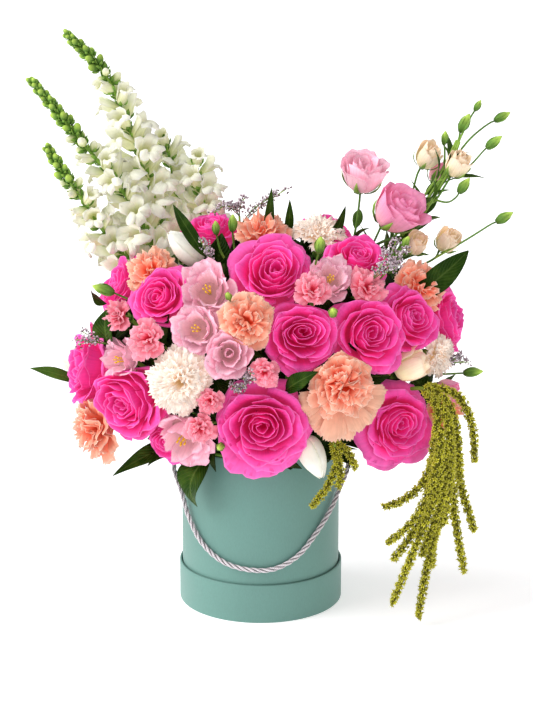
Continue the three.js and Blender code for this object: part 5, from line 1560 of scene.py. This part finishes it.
class FLOWERBOX_OT_top_spray(bpy.types.Operator):
    """Makes the lisianthus that stand above the right shoulder: pink cups, cream cups, buds and leaves."""

    bl_idname = "flowerbox.top_spray"
    bl_label = "Top spray"

    def execute(self, context):
        looks = (
            "clear pink petal", "stem green", "blush petal", "young bud", "spray leaf", "pale pink petal",
        )
        for node, rows in TOP_BLOOMS.items():
            rng = draws(node)
            shapes = []
            for kind, face, width, azimuth, height, line in rows:
                where = (face, width * BLOOM_SCALE, aim(azimuth, height), line, rng)
                shapes += bud(*where) if kind == "bud" else self.cup(*TOP_CUPS[kind], *where)
            if node == "lisianthus_bunch":
                shapes.append(stem(BUNCH_LINE, 2.0, 1.3, 40))
                for aside in ((-6, 2, 2), (5, -4, -4), (2, 5, -7)):
                    swing = np.array(aside) * MM * np.sin(np.linspace(0.2, 2.9, 40))[:, None]
                    part = through(BUNCH_LINE, 40) * MM + swing
                    shapes.append(tubes(part, 1.3 * MM, 6, material=GREEN))
                    shapes.append(self.leaves(part, 12, 0.3, 0.92, rng))
            else:
                count, last = LEAVES_ON_STEM[node]
                shapes.append(self.leaves(through(rows[0][-1][::-1], 30) * MM, count, 0.6, last, rng))
            build_piece(f"spray_{node}", shapes, looks, node)
        return {"FINISHED"}

    def cup(self, whorls, look, face, width, facing, line, rng):
        """A cup on its own stem, with five narrow sepals."""
        place = place_at(np.array(face) * MM, width / 2 * MM, facing)
        low = -BASE_OF["cuplet"]
        shapes = [dict(whorl, material=look) for whorl in cup_bloom(rng, whorls, place)]
        profile = [(0, low), (0.1, low + 0.02), (0.3, low + 0.25), (0.2, low + 0.4), (0, low + 0.4)]
        base = turned(profile, 10, material=GREEN)
        base["points"] = put(base["points"], place)
        leaves = sepals(place, (0.2, low + 0.1), (0.9, low + 1.0), 0.26, 0.2, -0.16, rng)
        neck = (place.middle + facing * low * place.radius * 0.98) / MM
        return [*shapes, base, leaves, stem([neck, *line], 1.1, 1.3, 24, 6)]

    def leaves(self, line, count, first, last, rng):
        """Narrow leaves that leave a stem at golden angles and lean along it."""
        at = np.linspace(first, last, count)
        spot, tangent = sample(line, at), unit(sample(np.gradient(line, axis=0), at))
        axes = frames(tangent)
        a = np.arange(count) * GOLDEN + rng.uniform(0, 6)
        out = axes[:, 0] * np.cos(a)[:, None] + axes[:, 1] * np.sin(a)[:, None]
        way = unit(tangent * rng.uniform(0.7, 1.5, count)[:, None] + out)
        tip = spot + way * rng.uniform(24, 44, count)[:, None] * MM
        wide = rng.uniform(7, 12, count) * MM
        facing = unit(tangent - out * 0.6) + [0, -0.3, 0]
        return leaf_blades(spot, tip, wide, facing, 0.1, rng, rows=8, cols=5, material=SPRAY_LEAF)


def tassel(line, widest, density, rng):
    """A strand of amaranthus: a core in the darkest grain colour, painted shade between the knots, and, all
    round it, separate knots of grains. The pointed grains of a knot spread from one point like a star, five
    to the sides and four outwards. Grains are dark at the foot and light at the tip, painted shade deep in
    the knot and a painted highlight on the point, and knots differ in shade at random."""
    count = 61
    axis = through(line, count) * MM
    t = np.linspace(0, 1, count)
    wide = widest * MM * np.minimum(0.6 + t * 4, 1 - 0.5 * np.maximum(0, t - 0.5))
    wide = wide * np.where(t > 0.97, 0.6, 1)
    # Painted shade: the core takes the darkest colour of the grain ramp, darkened further, to stand for the
    # shade between the knots.
    core = tubes(axis, wide * 0.42, 6, tone=0.0)
    core["petal"][:, 0] = 0.0
    knots = int(run_length(axis) / MM * density)
    s = (np.arange(knots) + rng.uniform(0.2, 0.8, knots)) / knots
    a = np.arange(knots) * GOLDEN + rng.uniform(-0.25, 0.25, knots)
    here, tangent = sample(axis, s), unit(sample(np.gradient(axis, axis=0), s))
    fixed = frames(unit(axis[-1] - axis[0]))[0][0]
    u = unit(fixed - (tangent @ fixed)[:, None] * tangent)
    out = u * np.cos(a)[:, None] + np.cross(tangent, u) * np.sin(a)[:, None]
    middle = here + out * (np.interp(s, t, wide) * rng.uniform(0.4, 0.56, knots))[:, None]
    lead = unit(out + 0.5 * tangent + rng.normal(0, 0.2, (knots, 3)))
    rays = 9
    turns = np.array([0, 0.2, 0.4, 0.6, 0.8, 0.1, 0.35, 0.6, 0.85])
    star = spokes(2 * np.pi * turns, np.where(np.arange(rays) < 5, 0.12, 1.3))
    way = np.einsum("rk,nkj->nrj", star, frames(lead, tangent)) + rng.normal(0, 0.14, (knots, rays, 3))
    size = rng.uniform(2.8, 4.4, knots * rays) * MM
    grain = turned([(0, 0), (0.22, 0.45), (0, 1)], 3)
    grain["petal"][:, 0] = [0.0, 0.45, 0.45, 0.45, 1.0]
    tone = np.repeat(rng.uniform(0.0, 0.5, knots), rays) + rng.uniform(0, 0.5, knots * rays)
    axes = frames(unit(way).reshape(-1, 3))
    return [core, repeat(grain, np.repeat(middle, rays, 0), axes, np.stack([size] * 3, -1), tone)]


class FLOWERBOX_OT_amaranthus(bpy.types.Operator):
    """Makes the hanging tassels at the right and the small ones at the front."""

    bl_idname = "flowerbox.amaranthus"
    bl_label = "Amaranthus"

    def execute(self, context):
        density = settings().counts.knots
        for name, stalk, lines, widest in (
            ("amaranthus_right", HANGING_STEM, HANGING, 6.4),
            ("amaranthus_front", SMALL_STEM, SMALL_STRANDS, 5.4),
        ):
            rng = draws(name)
            shapes = [stem(stalk, 2.0, 2.0)]
            for line in lines:
                shapes += tassel(line, widest, density, rng)
            build_piece(f"tassels_{name}", shapes, ("tassel grain", "stem green"), name)
        return {"FINISHED"}


def lavender_shoot(points, count, radius, first, florets, spread_to, rng):
    """A thin shoot of sea lavender, with small flared papery cups thrown round its outer part."""
    line = through(points, count) * MM
    grain = turned([(0, 0), (0.28, 0.3), (0.5, 0.85), (0, 0.7)], 4)
    here = sample(line, rng.uniform(first, 1.05, florets))
    way = unit(rng.normal(0, 1, (florets, 3)) + [0, -0.3, 0.8])
    off = way * rng.uniform(0.3, spread_to, florets)[:, None] * MM
    size = rng.uniform(2.0, 3.4, florets) * MM
    scales = np.stack([size * 0.8, size * 0.8, size], -1)
    cups = repeat(grain, here + off, frames(way), scales, rng.uniform(0, 1, florets))
    return [tubes(line, radius * MM, 5, material=GREEN), cups]


class FLOWERBOX_OT_limonium(bpy.types.Operator):
    """Makes the sea lavender twigs with their small papery florets."""

    bl_idname = "flowerbox.limonium"
    bl_label = "Sea lavender"

    def execute(self, context):
        for name, trunk, shoots in TWIGS:
            rng = draws(name)
            shapes = [stem(trunk, 1.1, 1.1, 30, 6)]
            for points in shoots:
                shapes += lavender_shoot(points, 20, 0.6, 0.25, 70, 4.2, rng)
            for spot in SPRIGS[name]:
                back = unit(np.array(spot) - [0, 0, 210]) * 26
                for _ in range(4):
                    lean = rng.normal(0, 5, 3) + back * 0.14
                    points = [spot - back, spot - back * 0.4 + lean * 0.4, spot + lean]
                    shapes += lavender_shoot(points, 10, 0.45, 0.45, 26, 4.6, rng)
            build_piece(f"twig_{name}", shapes, ("sea lavender", "stem green"), name)
        return {"FINISHED"}


def source_draws(seed):
    """The same seeded draws as in the part's source: a counter goes up by a fixed step, and its bits are
    mixed by shifts and products of 32 bits."""
    mask = 0xFFFFFFFF
    while True:
        seed = (seed + 0x6D2B79F5) & mask
        bits = ((seed ^ (seed >> 15)) * (seed | 1)) & mask
        bits ^= (bits + (((bits ^ (bits >> 7)) * (bits | 61)) & mask)) & mask
        yield (bits ^ (bits >> 14)) / 2**32


def rim_point(azimuth, radius=78, z=RIM_Z):
    """A point at an azimuth round the box, in millimetres."""
    a = np.radians(azimuth)
    return np.stack(np.broadcast_arrays(radius * np.sin(a), -radius * np.cos(a), z), -1)


def rim_leaves():
    """Leaves round the rim. Those at the front are listed, and those from the right side round the back
    stand evenly, except that the first makes room for a bloom: their tips are drawn. Places are whole
    millimetres."""
    rows = [(*row, 30) for row in FRONT_LEAVES]
    draw = source_draws(23)
    for k in range(14):
        azimuth = 98 + 164 * k / 13
        turn = azimuth + (next(draw) - 0.5) * 24
        reach, z, _ = 112 + next(draw) * 26, 150 + next(draw) * 50, next(draw)
        if k > 0:
            azimuth = round(azimuth)
            rows.append((azimuth, np.round(rim_point(turn, reach, z)), 27, 0.11, azimuth, 55))
    return (np.array(column, float) for column in zip(*rows))


def back_leaves():
    """Foot and tip of each leaf on the branches at the back. Feet stand evenly on the straight steps of their
    branch and tips are drawn to its two sides in turn, and only those with room around them are kept. Places
    are whole millimetres."""
    draw = source_draws(31)
    rows = []
    for line, steps, count, kept in BACK_LEAVES:
        curve = spans(line)
        joints = curve[:: (len(curve) - 1) // steps]
        for k in range(count):
            foot = sample(joints, 0.2 + 0.78 * k / (count - 1))
            swing = (1 if k % 2 == 0 else -1) * (30 + next(draw) * 80)
            out = aim(180 + swing * 0.7, -20 + next(draw) * 90)
            tip = foot + out * (44 + next(draw) * 18)
            if k in kept:
                rows.append((foot, tip))
    return np.round(np.array(rows)).swapaxes(0, 1)


def clear_of_blooms(points, depth, reach, besides=None):
    """Tells which points lie in front of no bloom's rim, whatever the one they belong to does."""
    gap = points[:, None] - CELLS.face[None]
    ahead = (gap * CELLS.facing[None]).sum(-1)
    aside = np.linalg.norm(gap - ahead[..., None] * CELLS.facing[None], axis=-1)
    hit = (ahead > -depth * CELLS.radius) & (aside < reach * CELLS.radius)
    if besides is not None:
        hit[:, besides] = False
    return ~hit.any(1)


class FLOWERBOX_OT_foliage(bpy.types.Operator):
    """Makes the leaves round the rim, the leafy branches at the back, and the leaves between the blooms."""

    bl_idname = "flowerbox.foliage"
    bl_label = "Foliage"

    def execute(self, context):
        looks = ("fresh leaf", "stem green", "painted shade leaf", "young bud", "spray leaf")
        rng = draws("collar")
        azimuth, tip, wide, bend, turn, height = rim_leaves()
        foot = rim_point(azimuth) * MM
        leaves = leaf_blades(foot, tip * MM, wide * MM, aim(turn, height), bend, rng, rows=15, cols=9)
        shapes = [self.wreath(), leaves, self.filler(rng, 170, 62, 100, 172, 240), *self.ruffs(rng, False)]
        shapes.append(self.placed([row for row in FILL_LEAVES if row[0][1] < 5], rng))
        shapes.append(self.placed(BRIGHT_LEAVES, rng, SPRAY_LEAF))
        for spot, width, turn, height in GREEN_BUDS:
            facing = aim(turn, height)
            inner = unit(np.array([0, 0, 230.0]) - spot)
            shapes += bud(spot, width, facing, [spot - facing * width + inner * 14, spot + inner * 34], rng)
        build_piece("leaves_collar", shapes, looks, "foliage_collar")

        rng = draws("back")
        shapes = [stem(line, wide, wide, 30, 6) for line, wide in zip(BACK_STEMS, (2.0, 1.5, 1.5, 1.5))]
        foot, tip = back_leaves() * MM
        turn = np.degrees(np.arctan2(tip[:, 0] - foot[:, 0], -(tip[:, 1] - foot[:, 1])))
        shapes.append(leaf_blades(foot, tip, 25 * MM, aim(turn, 60), 0.1, rng, rows=13))
        shapes += [self.filler(rng, 260, 30, 118, 215, 350), self.filler(rng, 160, 20, 90, 250, 350)]
        shapes += [*self.ruffs(rng, True), self.placed([row for row in FILL_LEAVES if row[0][1] >= 5], rng)]
        build_piece("leaves_back", shapes, looks, "foliage_back")
        return {"FINISHED"}

    def wreath(self):
        """The stem that lies on the rim: a ring section turned round the box axis."""
        ring = rim_point(np.linspace(-178, 178, 90)) * MM
        out = unit(ring * [1, 1, 0])[:, None]
        section = spokes(2 * np.pi * np.arange(7) / 7)[None]
        turn = out * section[..., :1] + np.array([0, 0, 1.0]) * section[..., 1:2]
        return lofts((ring[:, None] + 1.6 * MM * turn)[None], ring[:1], ring[-1:], material=GREEN)

    def placed(self, rows, rng, material=0):
        """The single leaves that show between blooms."""
        foot, tip, wide, turn, height = (np.array(column, float) for column in zip(*rows))
        facing = aim(turn, height)
        return leaf_blades(foot * MM, tip * MM, wide * MM, facing, 0.12, rng, rows=13, material=material)

    def ruffs(self, rng, behind):
        """Leaves in a darkened copy of the leaf colour behind each bloom, laid round it below its rim, that
        close the gaps to the next with painted shade.
        """
        shapes, count = [], 10
        for index, bloom in enumerate(BLOOMS):
            if bloom.kind == "tulip" or (bloom.face[1] > 0) != behind:
                continue
            place = place_of(index)
            out = spokes(2 * np.pi * (np.arange(count) + rng.uniform(-0.3, 0.3, count)) / count)
            deep = rng.uniform(0.52, 0.72, count)[:, None]
            long = (1.0 + 7 * MM / place.radius) * rng.uniform(0.92, 1.1, count)[:, None]
            foot, tip = put(out * 0.35 + [0, 0, -1.2], place), put(out * long + [0, 0, -1] * deep, place)
            near = foot + (tip - foot) * 0.75
            keep = clear_of_blooms(tip, 0.42, 1.1, index) & clear_of_blooms(near, 0.42, 1.1, index)
            keep &= tip[:, 2] > 188 * MM
            if keep.any():
                normal = (-out * 0.5 @ place.axes + place.facing)[keep]
                shapes.append(leaf_blades(
                    foot[keep], tip[keep], place.radius * 0.62, normal, 0.02, rng, rows=6, cols=3,
                    material=PAINTED_SHADE_LEAF,
                ))
        return shapes

    def filler(self, rng, count, inner, outer, low, high):
        """Small leaves in a darkened copy of the leaf colour, painted shade in the gaps between the blooms,
        thrown on an egg round the box axis and kept behind the faces of all the blooms."""
        azimuth = rng.uniform(-180, 180, count * 3)
        z = rng.uniform(low, high, count * 3)
        reach = rng.uniform(inner, outer, count * 3) * np.sqrt(np.clip(1 - ((z - 250) / 140) ** 2, 0.1, 1))
        spot = rim_point(azimuth, reach * (1 + 0.35 * np.abs(np.sin(np.radians(azimuth)))), z) * MM
        out = unit(spot - np.array([0, 0, 0.2]))
        swing = unit(out + rng.normal(0, 0.8, spot.shape))
        tip = spot + swing * rng.uniform(16, 30, len(spot))[:, None] * MM
        keep = np.flatnonzero(clear_of_blooms(spot, 0.5, 1.15) & clear_of_blooms(tip, 0.5, 1.0))[:count]
        spot, out, tip = spot[keep], out[keep], tip[keep]
        wide = rng.uniform(10, 17, len(spot)) * MM
        normal = out + rng.normal(0, 0.3, spot.shape)
        foot = spot - out * 10 * MM
        return leaf_blades(foot, tip, wide, normal, 0.1, rng, rows=6, cols=3, material=PAINTED_SHADE_LEAF)


class FLOWERBOX_OT_stage(bpy.types.Operator):
    """Sets a white sweep that glows a little, a white surround and one wide soft light from the left."""

    bl_idname = "flowerbox.stage"
    bl_label = "Stage"

    def execute(self, context):
        scene = context.scene
        mesh = bpy.data.meshes.new("floor")
        mesh.from_pydata([(-90, -90, 0), (90, -90, 0), (90, 90, 0), (-90, 90, 0)], [], [(0, 1, 2, 3)])
        floor = bpy.data.objects.new("floor", mesh)
        mesh.materials.append(finish("pale sweep"))
        scene.collection.objects.link(floor)
        world = bpy.data.worlds.new("surround")
        world.use_nodes = True
        world.node_tree.nodes["Background"].inputs[0].default_value = (1, 1, 1, 1)
        world.node_tree.nodes["Background"].inputs[1].default_value = 0.6
        scene.world = world
        lamp = bpy.data.lights.new("window", "SUN")
        lamp.energy = 2.6
        lamp.angle = math.radians(50)
        light = bpy.data.objects.new("window", lamp)
        light.rotation_euler = Vector(-aim(-80, 40)).to_track_quat("-Z", "Y").to_euler()
        scene.collection.objects.link(light)
        scene.view_settings.view_transform = "Standard"
        return {"FINISHED"}


class FLOWERBOX_PT_panel(bpy.types.Panel):
    """Lists the steps and what they read."""

    bl_label = "Flower box"
    bl_idname = "FLOWERBOX_PT_panel"
    bl_space_type = "VIEW_3D"
    bl_region_type = "UI"
    bl_category = "Flower box"

    def draw(self, context):
        for step in STEPS:
            self.layout.operator(step.bl_idname)
        for name in ("sizes", "box", "plants", "counts"):
            group = getattr(context.scene.flower_box, name)
            column = self.layout.column(heading=name)
            for key in group.bl_rna.properties.keys():
                if key not in ("rna_type", "name"):
                    column.prop(group, key)


STEPS = (
    FLOWERBOX_OT_camera, FLOWERBOX_OT_cord, FLOWERBOX_OT_box, FLOWERBOX_OT_roses, FLOWERBOX_OT_carnations,
    FLOWERBOX_OT_lisianthus, FLOWERBOX_OT_tulips, FLOWERBOX_OT_snapdragons, FLOWERBOX_OT_top_spray,
    FLOWERBOX_OT_amaranthus, FLOWERBOX_OT_limonium, FLOWERBOX_OT_foliage, FLOWERBOX_OT_stage,
)
CLASSES = (BoxSizes, BoxColours, PlantColours, PlantCounts, FlowerBox, *STEPS, FLOWERBOX_PT_panel)


def register():
    """Registers the classes and hangs the properties on the scene."""
    for cls in CLASSES:
        bpy.utils.register_class(cls)
    bpy.types.Scene.flower_box = PointerProperty(type=FlowerBox)


def unregister():
    """Takes away what register set up."""
    del bpy.types.Scene.flower_box
    for cls in reversed(CLASSES):
        bpy.utils.unregister_class(cls)


def main():
    """Makes every piece in order."""
    register()
    for step in STEPS:
        group, name = step.bl_idname.split(".")
        getattr(getattr(bpy.ops, group), name)()


if __name__ == "__main__":
    main()
